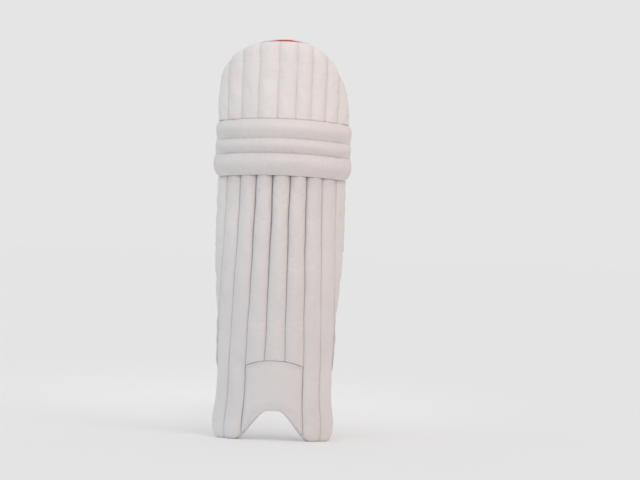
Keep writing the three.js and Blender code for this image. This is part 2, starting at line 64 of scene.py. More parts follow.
SHIN_FRONT = np.array([-133, -128, -124, -121, -120, -120, -119, -116])
CANE_PITCH = np.array([36.5, 36, 34.4, 34, 32.4, 31.6, 30.3, 29.8])
WING_WIDTH = np.array([2, 2, 2, 2, 8.5, 22, 34, 36])
ARCH_HEIGHT, ARCH_TOP_HALF, ARCH_FOOT_HALF, SOLE_PRESS = 55.0, 8.0, 76.0, 4.0
FOOT_CORNER, FOOT_CORNER_RISE, FOOT_ROUND = 34.0, 34.0, 20.0
FOOT_END_FULLNESS, TOE_ROUND = 0.65, 5.0
INSTEP_HIGH, INSTEP_DROP = 137.0, 10.0
SEAM_WANDER, SEAM_WANDER_WAVES = 0.4, (90, 150)
PUCKER, PUCKER_REACH, PUCKER_WAVES = 0.4, 5.0, (9, 14, 23, 41)
CANE_UNEVEN, CANE_UNEVEN_WAVES = 0.4, (60, 95)
FOOT_PULL, SHIN_PULL, SHIN_PULL_RISE, TOP_PULL, TOP_PULL_RISE = 0.7, 0.3, (150, 400), 0.25, (360, 450)
# How the seams deepen with height, then painted shade in the cane grooves: its reach, its share low down and
# the heights over which it grows.
SEAM_DEPTH_RISE, SEAM_SHADE_REACH, LOW_SEAM_SHADE, SEAM_SHADE_RISE = (110, 200), 1.5, 0.35, (150, 420)
TUBE_SOFTNESS, SEWN_FROM = 1.5, 0.75


def smooth_column(values, height):
    """A column of the shin's sizes at any height, on a natural cubic through its rows."""
    rows = len(SHIN_HEIGHTS)
    t = np.clip(np.asarray(height, float), SHIN_HEIGHTS[0], SHIN_HEIGHTS[-1])
    upper = np.clip(np.searchsorted(SHIN_HEIGHTS, t, side="right"), 1, rows - 1)
    lower = upper - 1
    before = np.where(lower > 0, lower - 1, upper)
    after = np.where(upper < rows - 1, upper + 1, lower)
    t0, t1 = SHIN_HEIGHTS[lower], SHIN_HEIGHTS[upper]
    pull_before = 0.5 * (t1 - t0) / (t0 - SHIN_HEIGHTS[before])
    pull_after = 0.5 * (t1 - t0) / (SHIN_HEIGHTS[after] - t1)
    p = (t - t0) / (t1 - t0)
    return (
        values[before] * pull_before * (-p**3 + 2 * p**2 - p)
        + values[lower]
        * ((1 + pull_before) * p**3 - (1.5 + 2 * pull_before) * p**2 + (pull_before - 0.5) * p + 1)
        + values[upper] * ((-1 - pull_after) * p**3 + (1.5 + pull_after) * p**2 + 0.5 * p)
        + values[after] * pull_after * (p**3 - p**2)
    )


def shin_plan(height):
    """Outer radius, arc middle, cane angle, last cane's edge angle and guard's edge angle at a height."""
    radius = smooth_column(SHIN_RADIUS, height)
    middle = smooth_column(SHIN_FRONT, height) + radius
    seam = radius - CANE_GROOVE
    cane = smooth_column(CANE_PITCH, height) / seam
    canes_edge = CANE_COUNT / 2 * cane
    return radius, middle, cane, canes_edge, canes_edge + smooth_column(WING_WIDTH, height) / seam


knee_low_corner, knee_high_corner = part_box("knee_roll_lower")
knee_middle = float(shin_plan(KNEE_LOW)[1])
AXIS_X = (knee_low_corner.x + knee_high_corner.x) / 2 / MM
AXIS_Y = knee_low_corner.y / MM - (knee_middle - KNEE_RADIUS - LOWER_ROLL_SWELL)


def on_arc(middle, radius, angle, height):
    return np.stack(np.broadcast_arrays(radius * np.sin(angle), middle - radius * np.cos(angle), height), -1)


def drooped(points, share=1.0):
    """The knee's seams sag towards the sides, with what meets them above and below."""
    points[..., 2] -= share * KNEE_DROOP * (points[..., 0] / KNEE_HALF) ** 2
    return points


def in_metres(points):
    return (points + np.array([AXIS_X, AXIS_Y, 0.0])) * MM


def pillow(share):
    return np.sqrt(np.clip(1 - (2 * share - 1) ** 2, 0, 1))


def seam_steps(share):
    return 0.5 - 0.5 * np.cos(np.pi * share)


def rounded_end(distance, reach, fullness):
    share = np.clip(distance / reach, 0, 1)
    return fullness + (1 - fullness) * np.sqrt(np.clip(1 - (1 - share) ** 2, 0, 1))


def smoothstep(value, low, high):
    share = np.clip((value - low) / (high - low), 0, 1)
    return share * share * (3 - 2 * share)


def ripple(along, seed, waves=PUCKER_WAVES):
    """Uneven hand-sewn waviness, about -1 to 1, by distance along a seam in millimetres."""
    draw = np.random.default_rng(seed)
    total = 0
    for wave in waves:
        length = wave * draw.uniform(0.85, 1.15)
        total = total + np.sin(2 * np.pi * along / length + draw.uniform(0, 6.28))
    return total / len(waves) * 1.6


def bent_block(name, across, up, place, deep=1):
    """A block of cells bent into shape. place takes shares across, up and back to front, and gives points in
    millimetres and how much shade to paint on each, mostly near a seam. The block's rim, and the points with
    the most painted shade, are marked as sewn."""
    u, v = np.meshgrid(np.linspace(0, 1, across + 1), np.linspace(0, 1, up + 1))
    count = u.size
    corner = np.arange(count).reshape(up + 1, across + 1)
    rim = np.concatenate([corner[0, :-1], corner[:-1, -1], corner[-1, :0:-1], corner[:0:-1, 0]])
    us, vs, ws = [u.ravel(), u.ravel()], [v.ravel(), v.ravel()], [np.zeros(count), np.ones(count)]
    for step in range(1, deep):
        us.append(u.ravel()[rim])
        vs.append(v.ravel()[rim])
        ws.append(np.full(len(rim), step / deep))
    us, vs, ws = np.concatenate(us), np.concatenate(vs), np.concatenate(ws)
    points, near = place(us, vs, ws)
    points = in_metres(points)

    quads = np.stack([corner[:-1, :-1], corner[:-1, 1:], corner[1:, 1:], corner[1:, :-1]], -1).reshape(-1, 4)
    between = [2 * count + step * len(rim) + np.arange(len(rim)) for step in range(deep - 1)]
    loops = [rim, *between, rim + count]
    faces = [quads[:, ::-1], quads + count]
    for lower, upper in zip(loops[:-1], loops[1:]):
        faces.append(np.stack([lower, np.roll(lower, -1), np.roll(upper, -1), upper], -1))
    mesh = bpy.data.meshes.new(name)
    mesh.from_pydata(points.tolist(), [], np.concatenate(faces).tolist())
    mesh.polygons.foreach_set("use_smooth", np.ones(len(mesh.polygons), bool))
    near = np.broadcast_to(near, len(points)).astype(np.float32)
    # The amount of painted shade at each point, for the materials to darken by.
    mesh.attributes.new("painted_shade", "FLOAT", "POINT").data.foreach_set("value", near)
    face = points[count:2 * count].reshape(up + 1, across + 1, 3)
    width = np.linalg.norm(np.diff(face[up // 2], axis=0), axis=1).sum()
    height = np.linalg.norm(np.diff(face[:, across // 2], axis=0), axis=1).sum()
    cloth = np.stack([us * width, vs * height, ws * 0], -1).astype(np.float32)
    mesh.attributes.new("cloth", "FLOAT_VECTOR", "POINT").data.foreach_set("vector", cloth.ravel())
    piece = bpy.data.objects.new(name, mesh)
    bpy.context.scene.collection.objects.link(piece)
    sewn = np.concatenate(loops + [np.flatnonzero(near > SEWN_FROM * near.max())])
    piece.vertex_groups.new(name="sewn").add(np.unique(sewn).tolist(), 1.0, "REPLACE")
    return piece


def stuff(piece, cap, pressure=3.0, slack=0.01, frames=12, by_seam=0.2):
    """Swells a padded piece as cloth, held along its seams. Each point keeps within cap millimetres, and
    within the share by_seam of its distance to the nearest sewn point, so that no cell folds over there."""
    scene = bpy.context.scene
    mesh = piece.data
    sewn = [point for point in mesh.vertices if point.groups]
    nearest = KDTree(len(sewn))
    for point in sewn:
        nearest.insert(point.co, point.index)
    nearest.balance()
    reach = np.array([nearest.find(point.co)[2] for point in mesh.vertices])[:, None]
    most = np.minimum(cap * MM, by_seam * reach) + 1e-9
    swelling = piece.modifiers.new("stuffing", "CLOTH")
    swelling.settings.quality = 4
    swelling.settings.vertex_group_mass = "sewn"
    swelling.settings.use_pressure = True
    swelling.settings.uniform_pressure_force = pressure
    swelling.settings.shrink_min = -slack
    swelling.settings.effector_weights.gravity = 0
    swelling.collision_settings.use_collision = False
    swelling.point_cache.frame_end = frames
    for step in range(1, frames + 1):
        scene.frame_set(step)
    start = np.empty(len(mesh.vertices) * 3, np.float32)
    mesh.vertices.foreach_get("co", start)
    moved = np.empty_like(start)
    swollen = piece.evaluated_get(bpy.context.evaluated_depsgraph_get())
    swollen.data.vertices.foreach_get("co", moved)
    move = (moved - start).reshape(-1, 3)
    length = np.linalg.norm(move, axis=1, keepdims=True) + 1e-9
    move *= np.tanh(length / most) * most / length
    piece.modifiers.remove(swelling)
    mesh.vertices.foreach_set("co", start + move.ravel())
    mesh.update()
    scene.frame_set(1)
def dress(piece, material, node):
    """Gives a finished piece its material and its slot, in place of its solid on the guard's one body."""
    piece.vertex_groups.clear()
    piece.data.materials.append(material)
    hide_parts(node)
    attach(piece, "root")


def pad(piece, material, node, cap=0.0):
    """Stuffs a padded piece if it has a cap and dresses it."""
    if cap:
        stuff(piece, cap)
    dress(piece, material, node)


class Nodes:
    """A node tree with short ways to add to it."""

    def __init__(self, tree):
        self.nodes, self.links = tree.nodes, tree.links

    def feed(self, socket, value):
        """Links another node's output to a socket, or sets the socket's own value."""
        if isinstance(value, bpy.types.NodeSocket):
            self.links.new(value, socket)
        else:
            socket.default_value = value

    def add(self, kind, inputs=None, **settings):
        node = self.nodes.new(kind)
        for key, value in settings.items():
            setattr(node, key, value)
        for key, value in (inputs or {}).items():
            self.feed(node.inputs[key], value)
        return node

    def mix(self, factor, first, second):
        """Mixes two colours; each may be a colour or another node's output."""
        return self.add("ShaderNodeMix", {0: factor, 6: first, 7: second}, data_type="RGBA").outputs[2]


class Finish(Nodes):
    """A procedural material with its nodes to hand."""

    def __init__(self, name, roughness, sheen=0.0):
        self.material = bpy.data.materials.new(name)
        self.material.use_nodes = True
        super().__init__(self.material.node_tree)
        self.shader = self.nodes["Principled BSDF"].inputs
        self.shader["Roughness"].default_value = roughness
        self.shader["Sheen Weight"].default_value = sheen
        self.place = self.add("ShaderNodeTexCoord").outputs["Object"]

    def read(self, attribute, output):
        return self.add("ShaderNodeAttribute", attribute_name=attribute).outputs[output]

    def noise(self, place, scale, detail=2.0, distortion=0.0):
        inputs = {"Vector": place, "Scale": scale, "Detail": detail, "Distortion": distortion}
        return self.add("ShaderNodeTexNoise", inputs).outputs["Fac"]

    def wave(self, place, scale, axis):
        inputs = {"Vector": place, "Scale": scale}
        return self.add("ShaderNodeTexWave", inputs, bands_direction=axis).outputs["Fac"]

    def cells(self, place, scale):
        return self.add("ShaderNodeTexVoronoi", {"Vector": place, "Scale": scale}).outputs["Distance"]

    def ramp(self, value, low, high):
        inputs = {"Value": value, "From Min": low, "From Max": high}
        return self.add("ShaderNodeMapRange", inputs).outputs["Result"]

    def cloudy(self, colour, clouds, low, high, share):
        """A colour that turns darker, to a share of itself, in patches."""
        return self.mix(self.ramp(clouds, low, high), colour, darker(colour, share))

    def bump(self, height, strength, distance, normal=None):
        node = self.add("ShaderNodeBump", {"Height": height, "Strength": strength, "Distance": distance})
        if normal:
            self.feed(node.inputs["Normal"], normal)
        return node.outputs["Normal"]

    def wear(self, colour, normal):
        self.feed(self.shader["Base Color"], colour)
        self.feed(self.shader["Normal"], normal)
        return self.material


def darker(colour, share):
    return [part * share for part in colour[:3]] + [1]


def coated_leather(name, unshaded, shaded_colour):
    """White coated leather: fine pebbled grain, a little uneven in tone, with painted shade that greys it
    down in the sewn grooves and other shaded spots.
    """
    finish = Finish(name, 0.5)
    tone = finish.cloudy(unshaded, finish.noise(finish.place, 14.0, 4.0), 0.35, 0.7, 0.95)
    creases = finish.noise(finish.place, 130.0, 5.0)
    gloss = finish.add("ShaderNodeMapRange", {"Value": creases, "To Min": 0.44, "To Max": 0.62})
    finish.feed(finish.shader["Roughness"], gloss.outputs["Result"])
    grain = finish.bump(finish.cells(finish.place, 1100.0), 0.12, 0.0004)
    # Painted shade: the painted_shade attribute greys the leather towards its shaded colour.
    colour = finish.mix(finish.read("painted_shade", "Fac"), tone, shaded_colour)
    return finish.wear(colour, finish.bump(creases, 0.1, 0.0012, grain))


# The second colour is the leather in painted shade.
white_face = coated_leather("white_coated_leather", (0.77, 0.725, 0.715, 1), (0.52, 0.48, 0.48, 1))


def lower_edge(angle, depth=CANE_GROOVE):
    """Height of the shin's lower edge: the arch, the pressed sole and the foot's rounded outer corner."""
    radius, _, _, canes_edge, _ = shin_plan(0)
    across = np.abs((radius - depth) * np.sin(angle))
    arch = ARCH_HEIGHT * (1 - smoothstep(across, ARCH_TOP_HALF, ARCH_FOOT_HALF))
    corner = np.clip(1 - (canes_edge - np.abs(angle)) * radius / FOOT_CORNER, 0, 1)
    return np.maximum(0, arch + FOOT_CORNER_RISE * (1 - np.sqrt(1 - corner**2)) - SOLE_PRESS)


def instep_seam(angle):
    half = (CANE_COUNT / 2 - FOOT_CANES) * shin_plan(INSTEP_HIGH)[2]
    return INSTEP_HIGH - INSTEP_DROP * (angle / half) ** 2


def soft_tube(share):
    """A stuffed tube's section, softer in its flanks than a half round."""
    return pillow(share) ** TUBE_SOFTNESS


def cane_place(number):
    is_foot = number <= FOOT_CANES or number > CANE_COUNT - FOOT_CANES
    depth_left, depth_right = CANE_SEAM_DEPTH[number - 1], CANE_SEAM_DEPTH[number]

    def seam_line(height, seed, waves):
        left, right = ripple(height, seed + number, waves), ripple(height, seed + number + 1, waves)
        return left * (number > 1), right * (number < CANE_COUNT)

    def place(u, v, w):
        share = seam_steps(u)
        canes = number - 1 + share - CANE_COUNT / 2
        if is_foot:
            low = lower_edge(canes * shin_plan(0)[2])
        else:
            low = instep_seam(canes * shin_plan(INSTEP_HIGH)[2]) + SEAM_GAP / 2
        height = low + (KNEE_LOW - TIGHT_GAP - low) * v**1.1
        radius, middle, cane = shin_plan(height)[:3]
        left, right = seam_line(height, 0, SEAM_WANDER_WAVES)
        wander = SEAM_WANDER * (left * (1 - share) + right * share)
        angle = canes * cane + ((0.5 - share) * SEAM_GAP + wander) / radius
        to_seam = np.minimum(share, 1 - share) * cane * radius
        left, right = seam_line(height, 40, PUCKER_WAVES)
        pucker = PUCKER * np.exp(-to_seam / PUCKER_REACH) * np.where(share < 0.5, left, right)
        uneven = CANE_UNEVEN * ripple(height, 70 + number, CANE_UNEVEN_WAVES)
        full = soft_tube(share) * rounded_end(height - low, FOOT_ROUND, FOOT_END_FULLNESS)
        pulled = FOOT_PULL + SHIN_PULL * smoothstep(height, *SHIN_PULL_RISE)
        pulled = pulled + TOP_PULL * smoothstep(height, *TOP_PULL_RISE)
        toe = TOE_ROUND * (1 - rounded_end(height - low, FOOT_ROUND, 0.0)) * is_foot
        sewn_in = depth_left + (depth_right - depth_left) * share
        sewn_in = 1 + (sewn_in - 1) * smoothstep(height, *SEAM_DEPTH_RISE)
        face = radius - CANE_GROOVE * (1 - full) * pulled * sewn_in + (pucker + uneven) * full - toe
        back = radius - CANE_GROOVE - CANE_WEB - CANE_BACK * full
        points = on_arc(middle, back + (face - back) * w, angle, height)
        # Painted shade: darker in the sewn grooves, fainter low down, and a painted shadow on the canes just
        # under the lower knee roll.
        shade_strength = LOW_SEAM_SHADE + (1 - LOW_SEAM_SHADE) * smoothstep(height, *SEAM_SHADE_RISE)
        near = sewn_in**2 * np.exp(-to_seam / SEAM_SHADE_REACH) * shade_strength
        near = np.maximum(near, KNEE_SHADOW * np.exp(-(KNEE_LOW - height) / KNEE_SHADOW_REACH))
        return drooped(points, smoothstep(v, 0.5, 1)), near * w

    return place


for number in range(1, CANE_COUNT + 1):
    cane = bent_block(f"padded_cane_{number}", 20, 140, cane_place(number))
    pad(cane, white_face, f"shin_cane_{number}", cap=1.2)


# Side wings. Two thinner tapered ribs of the same stuffed leather, sewn on beside the outermost canes, that
# carry the guard round the sides of the calf.
WING_LOW, WING_GROOVE, WING_WEB, WING_BACK = 120.0, 6.0, 7.0, 2.0
WING_TAPER, WING_TAPER_FULLNESS = 60.0, 0.3
# The last figure is a faint painted shade beside the outermost cane.
WING_UNEVEN, WING_UNEVEN_WAVES, WING_SHADE = 0.5, (30, 55), 0.15


def wing_place(sign):
    def place(u, v, w):
        share = seam_steps(u if sign > 0 else 1 - u)
        height = WING_LOW + (KNEE_LOW - TIGHT_GAP - WING_LOW) * v
        radius, middle, _, canes_edge, edge = shin_plan(height)
        seam = radius - CANE_GROOVE
        full = soft_tube(share)
        taper = rounded_end(height - WING_LOW, WING_TAPER, WING_TAPER_FULLNESS)
        start = canes_edge + SEAM_GAP / seam
        beside_cane = CANE_GROOVE * (1 - CANE_SEAM_DEPTH[0]) * (1 - share) ** 2
        uneven = WING_UNEVEN * ripple(height, 90 + sign, WING_UNEVEN_WAVES)
        face = seam + (beside_cane + (WING_GROOVE + uneven) * full) * taper
        back = seam - (WING_WEB + WING_BACK * full) * taper
        points = on_arc(middle, back + (face - back) * w, sign * (start + (edge - start) * share), height)
        # Painted shade, faint, in the groove beside the outermost cane.
        near = WING_SHADE * np.exp(-share * (edge - start) * seam / SEAM_SHADE_REACH)
        return drooped(points, v), near * w

    return place


for side, sign in (("left", -1), ("right", 1)):
    wing = bent_block(f"padded_wing_{side}", 16, 90, wing_place(sign))
    pad(wing, white_face, f"wing_{side}", cap=0.8)


# Instep patch. A smooth padded patch of the same leather laid over the lower ends of the middle canes, with
# an arched seam above and the shoe's arch cut below. A soft white lining closes its back.
INSTEP_SUNK, INSTEP_LINING_HIGH, INSTEP_LINING_DEPTH = 2.5, 146.0, 5.0
LINING_HALF = 47.0
# The middle figure is painted shade near the patch's seams.
INSTEP_FULLNESS, INSTEP_SHADE, INSTEP_TALL = 0.6, 0.2, 100


def instep_place(high, face_depth, back_depth, fullness):
    def place(u, v, w):
        side = 2 * u - 1
        half = CANE_COUNT / 2 - FOOT_CANES
        low = lower_edge(side * half * shin_plan(0)[2], max(CANE_GROOVE, face_depth))
        height = low + (high(side * half * shin_plan(INSTEP_HIGH)[2]) - low) * v
        radius, middle, cane = shin_plan(height)[:3]
        angle = side * (half * cane - SEAM_GAP / radius)
        rim = np.minimum(height - low, (1 - np.abs(side)) * LINING_HALF)
        full = rounded_end(rim, FOOT_ROUND, fullness)
        centre = (face_depth + back_depth) / 2
        depth = centre + (back_depth + (face_depth - back_depth) * w - centre) * full
        to_seam = np.minimum((1 - np.abs(side)) * LINING_HALF, (1 - v) * INSTEP_TALL)
        # Painted shade near the patch's seams.
        near = INSTEP_SHADE * np.exp(-to_seam / SEAM_SHADE_REACH)
        return on_arc(middle, radius - depth, angle, height), near

    return place


def instep_high(angle):
    return instep_seam(angle) - SEAM_GAP / 2


instep_face = instep_place(instep_high, INSTEP_SUNK, CANE_DEPTH, INSTEP_FULLNESS)
instep = bent_block("instep_patch", 60, 60, instep_face)
pad(instep, white_face, "instep_panel", cap=1.5)


def lining_cloth(name, unshaded, shaded_colour):
    """White lining: a close plain weave with a soft, dull face, darkened by painted shade near its seams."""
    finish = Finish(name, 0.82, sheen=0.15)
    tone = finish.cloudy(unshaded, finish.noise(finish.place, 22.0, 3.0), 0.3, 0.7, 0.93)
    picks = finish.bump(finish.wave(finish.place, 400.0, "X"), 0.12, 0.0003)
    weave = finish.bump(finish.wave(finish.place, 400.0, "Z"), 0.12, 0.0003, picks)
    # Painted shade: the painted_shade attribute darkens the lining towards its shaded colour.
    return finish.wear(finish.mix(finish.read("painted_shade", "Fac"), tone, shaded_colour), weave)


# The second colour is the lining in painted shade.
white_lining = lining_cloth("white_lining_cloth", (0.76, 0.735, 0.77, 1), (0.45, 0.43, 0.47, 1))
lining_face = CANE_DEPTH + SEAM_GAP
instep_back = bent_block(
    "instep_lining_cloth", 40, 50,
    instep_place(lambda angle: INSTEP_LINING_HIGH, lining_face, lining_face + INSTEP_LINING_DEPTH, 1.0),
)
pad(instep_back, white_lining, "instep_lining")


# Knee rolls. Three fat horizontal rolls of stuffed leather sewn one above the other over the knee, which
# overhang the canes below and end in rounded, gathered corners at the sides.
KNEE_BACK, KNEE_END_ROUND, KNEE_END_FULLNESS = 12.0, 24.0, 0.35
KNEE_CORNER, KNEE_CORNER_HIGH, KNEE_SEAM_END_FULLNESS, KNEE_FLUSH_FROM = 20.0, 24.0, 0.8, 0.7
# The last figure is an even painted shade over the rolls' faces.
KNEE_ROLL_LEAN, KNEE_ROLL_SOFTNESS, KNEE_ROLL_SHADE = 1.35, 1.7, 0.2
ROLL_PUCKER, ROLL_PUCKER_REACH, ROLL_UNEVEN, ROLL_UNEVEN_WAVES = 0.6, 7.0, 0.03, (80, 130)
# Painted shade in the rolls' seams: at the knee's outer seams, between the rolls, and its reach.
ROLL_SEAM_SHADE, ROLL_BETWEEN_SHADE, ROLL_SHADE_REACH = 0.05, 0.3, 1.4
KNEE_ROLLS = (
    ("knee_roll_lower", KNEE_LOW, 494.0, LOWER_ROLL_SWELL, 0.4, 0.5),
    ("knee_roll_middle", 494.0, 520.0, 14.0, 0.5, 0.5),
    ("knee_roll_upper", 520.0, KNEE_HIGH, 14.0, 0.5, 0.25),
)


def knee_reach(height):
    """How far round the leg the knee reaches: its lower corners are rounded off."""
    corner = np.clip(1 - (height - KNEE_LOW) / KNEE_CORNER_HIGH, 0, 1)
    return KNEE_REACH - KNEE_CORNER / KNEE_RADIUS * (1 - np.sqrt(1 - corner**2))


def roll_place(low, high, swell, low_seam, high_seam, seed):
    def place(u, v, w):
        share = seam_steps(v)
        height = low + TIGHT_GAP / 2 + (high - low - TIGHT_GAP) * share
        reach = knee_reach(height)
        angle = reach * (2 * u - 1)
        along = angle * KNEE_RADIUS
        to_end = (reach - np.abs(angle)) * KNEE_RADIUS
        to_seam = np.minimum(share, 1 - share) * (high - low)
        pucker = np.exp(-to_seam / ROLL_PUCKER_REACH) * ripple(along, seed)
        near_end = smoothstep(np.abs(angle) / reach, KNEE_FLUSH_FROM, 1)
        at_seam = np.where(share < 0.5, low_seam, high_seam)
        below_hat = (high == KNEE_HIGH) & (share > 0.5)
        at_end = np.where(below_hat, at_seam, KNEE_SEAM_END_FULLNESS)
        at_seam = at_seam + (at_end - at_seam) * near_end
        full = at_seam + (1 - at_seam) * pillow(share**KNEE_ROLL_LEAN) ** KNEE_ROLL_SOFTNESS
        full *= rounded_end(to_end, KNEE_END_ROUND, KNEE_END_FULLNESS)
        uneven = 1 + ROLL_UNEVEN * ripple(along, seed + 5, ROLL_UNEVEN_WAVES)
        face = swell * full * uneven + ROLL_PUCKER * pucker * full
        points = on_arc(knee_middle, KNEE_RADIUS - KNEE_BACK + (KNEE_BACK + face) * w, angle, height)
        # Painted shade: darker in the seams between rolls, and an even painted shade over the whole face of
        # each roll.
        between_rolls = ~below_hat & ((low > KNEE_LOW) | (share > 0.5))
        shade_strength = ROLL_SEAM_SHADE + ROLL_BETWEEN_SHADE * between_rolls
        near = shade_strength * np.exp(-to_seam / ROLL_SHADE_REACH) * (1 - near_end)
        return drooped(points), np.maximum(near, KNEE_ROLL_SHADE) * w

    return place


for seed, (node, *sizes) in enumerate(KNEE_ROLLS):
    roll = bent_block(f"stuffed_{node}", 150, 22, roll_place(*sizes, 200 + seed))
    pad(roll, white_face, node, cap=1.5)


# Top hat. The domed flap above the knee: one stuffed panel of white leather quilted by upright rows of
# sewing, thinned to a sewn edge all round its dome, squarer on one shoulder.
GUARD_HEIGHT = 690.0
HAT_RADIUS_LOW, HAT_RADIUS_HIGH = 131.0, 150.0
HAT_DEPTH, HAT_GROOVE, HAT_EDGE_DEPTH, HAT_PINCH = 17.0, 5.0, 9.0, 7.5
HAT_CROWN_DIP, HAT_CROWN_HALF = 2.8, 46.0
HAT_FRONT_LOW, HAT_FRONT_HIGH = -114.0, -106.0
HAT_EDGE_BAND, HAT_APEX, HAT_TUCK, HAT_TUCK_FULLNESS = 0.35, -3.0, 20.0, 0.96
HAT_SEAMS = np.array([-150, -109, -77, -45, -11, 20, 47, 75, 103, 150])
HAT_HALVES, HAT_SPREADS, HAT_POWERS = np.array([(115.0, 118.0), (2.0, 2.5), (4.0, 2.0)])
HAT_WANDER_WAVES, HAT_PUCKER, HAT_UNEVEN, HAT_UNEVEN_WAVES = (60, 100), 0.35, 0.6, (45, 80)
# Painted shade in the hat's quilting grooves and along its foot, each with its reach.
HAT_SEAM_SHADE, HAT_SEAM_SHADE_REACH, HAT_FOOT_SHADE, HAT_FOOT_SHADE_REACH = 0.3, 1.3, 0.1, 2.0


def hat_arc(height):
    """The middle and radius of the hat's arc, which opens from the knee's curve to a flatter one."""
    share = (height - KNEE_HIGH) / (GUARD_HEIGHT - KNEE_HIGH)
    radius = HAT_RADIUS_LOW + (HAT_RADIUS_HIGH - HAT_RADIUS_LOW) * share
    return HAT_FRONT_LOW + (HAT_FRONT_HIGH - HAT_FRONT_LOW) * share + radius, radius


def crown(across):
    return np.exp(-(((across - HAT_APEX) / HAT_CROWN_HALF) ** 2))


def dome_spot(u, inset=0.0, dip=HAT_CROWN_DIP):
    """Distance across and height of the dome's edge above it, for a share across the hat."""
    turn = np.pi * (u - 0.5)
    side = (turn >= 0).astype(int)
    out = (HAT_HALVES[side] - inset) * np.sign(turn)
    across = HAT_APEX + out * np.abs(np.sin(turn)) ** (2 / HAT_SPREADS[side])
    high = (GUARD_HEIGHT - KNEE_HIGH - inset) * np.clip(np.cos(turn), 0, 1) ** (2 / HAT_POWERS[side])
    return across, high - dip * crown(across)


def dome_fullness(across, height):
    """How well stuffed the hat is at a spot: nothing at its sewn edge, all well inside it."""
    side = (across > HAT_APEX).astype(int)
    tall = GUARD_HEIGHT - KNEE_HIGH - HAT_CROWN_DIP * crown(across)
    rise = np.clip((height - KNEE_HIGH) / tall, 0, 1)
    out = np.abs((across - HAT_APEX) / HAT_HALVES[side])
    inside = 1 - out ** HAT_SPREADS[side] - rise ** HAT_POWERS[side]
    return rounded_end(np.clip(inside, 0, 1), HAT_EDGE_BAND, 0.0)


def hat_place(u, v, w):
    across, high = dome_spot(u)
    height = KNEE_HIGH + TIGHT_GAP + (high - TIGHT_GAP) * v
    stuffed = dome_fullness(across, height)
    edge = (HAT_EDGE_DEPTH + (HAT_DEPTH - HAT_EDGE_DEPTH) * stuffed) / HAT_DEPTH
    middle, radius = hat_arc(height)
    angle = np.arcsin(np.clip(across / (radius - HAT_GROOVE), -1, 1))
    tuck = rounded_end(height - KNEE_HIGH, HAT_TUCK, HAT_TUCK_FULLNESS)
    along = angle * (radius - HAT_GROOVE) + SEAM_WANDER * ripple(height, 300, HAT_WANDER_WAVES)
    seam = np.clip(np.searchsorted(HAT_SEAMS, along, side="right"), 1, len(HAT_SEAMS) - 1)
    width = HAT_SEAMS[seam] - HAT_SEAMS[seam - 1]
    share = np.clip((along - HAT_SEAMS[seam - 1]) / width, 0, 1)
    to_groove = np.minimum(share, 1 - share) * width
    quilt = soft_tube(share)
    uneven = HAT_UNEVEN * ripple(height + across, 320, HAT_UNEVEN_WAVES)
    pucker = np.exp(-to_groove / PUCKER_REACH) * ripple(height, 310) + uneven
    depth = HAT_DEPTH - HAT_GROOVE * (1 - quilt) + HAT_PUCKER * pucker * quilt
    depth = depth * np.minimum(edge, tuck)
    pinch = HAT_PINCH * (1 - stuffed)
    points = on_arc(middle, radius - HAT_DEPTH + pinch + (depth - pinch) * w, angle, height)
    # Painted shade in the quilting grooves and along the hat's foot where it meets the upper roll.
    at_groove = HAT_SEAM_SHADE * np.exp(-to_groove / HAT_SEAM_SHADE_REACH)
    at_foot = HAT_FOOT_SHADE * np.exp(-(height - KNEE_HIGH) / HAT_FOOT_SHADE_REACH)
    return drooped(points, 1 - v), np.maximum(at_groove, at_foot) * w


hat = bent_block("quilted_top_hat", 220, 60, hat_place, deep=3)
pad(hat, white_face, "top_hat", cap=0.6)


# Top hat lining. One piece of orange printed cloth over the back of the top hat, bound into its edge and
# standing a little above it at the crown.
HAT_LINING_DEPTH, HAT_LINING_INSET, HAT_CROWN_LIFT = 3.0, 1.5, 1.8
# The last figure is painted shade on the lining near its bound rim.
HAT_LINING_EDGE, HAT_LINING_SAG, HAT_LINING_WAVES, HAT_LINING_RIM_SHADE = 0.6, 0.4, (50, 85), 0.6


def hat_lining_place(u, v, w):
    across, high = dome_spot(u, HAT_LINING_INSET, -HAT_CROWN_LIFT)
    height = KNEE_HIGH + SEAM_GAP + (high - SEAM_GAP) * v
    stuffed = dome_fullness(across, height)
    middle, radius = hat_arc(height)
    face = radius - HAT_DEPTH - SEAM_GAP + HAT_PINCH * (1 - stuffed)
    angle = np.arcsin(np.clip(across / (radius - HAT_GROOVE), -1, 1))
    sag = HAT_LINING_SAG * ripple(across + 0.6 * height, 330, HAT_LINING_WAVES) * (1 - w)
    deep = HAT_LINING_DEPTH * (HAT_LINING_EDGE + (1 - HAT_LINING_EDGE) * stuffed) + sag
    points = on_arc(middle, face - deep * (1 - w), angle, height)
    # Painted shade on the lining near its bound rim.
    return drooped(points, 1 - v), HAT_LINING_RIM_SHADE * np.exp(-stuffed / 0.1)


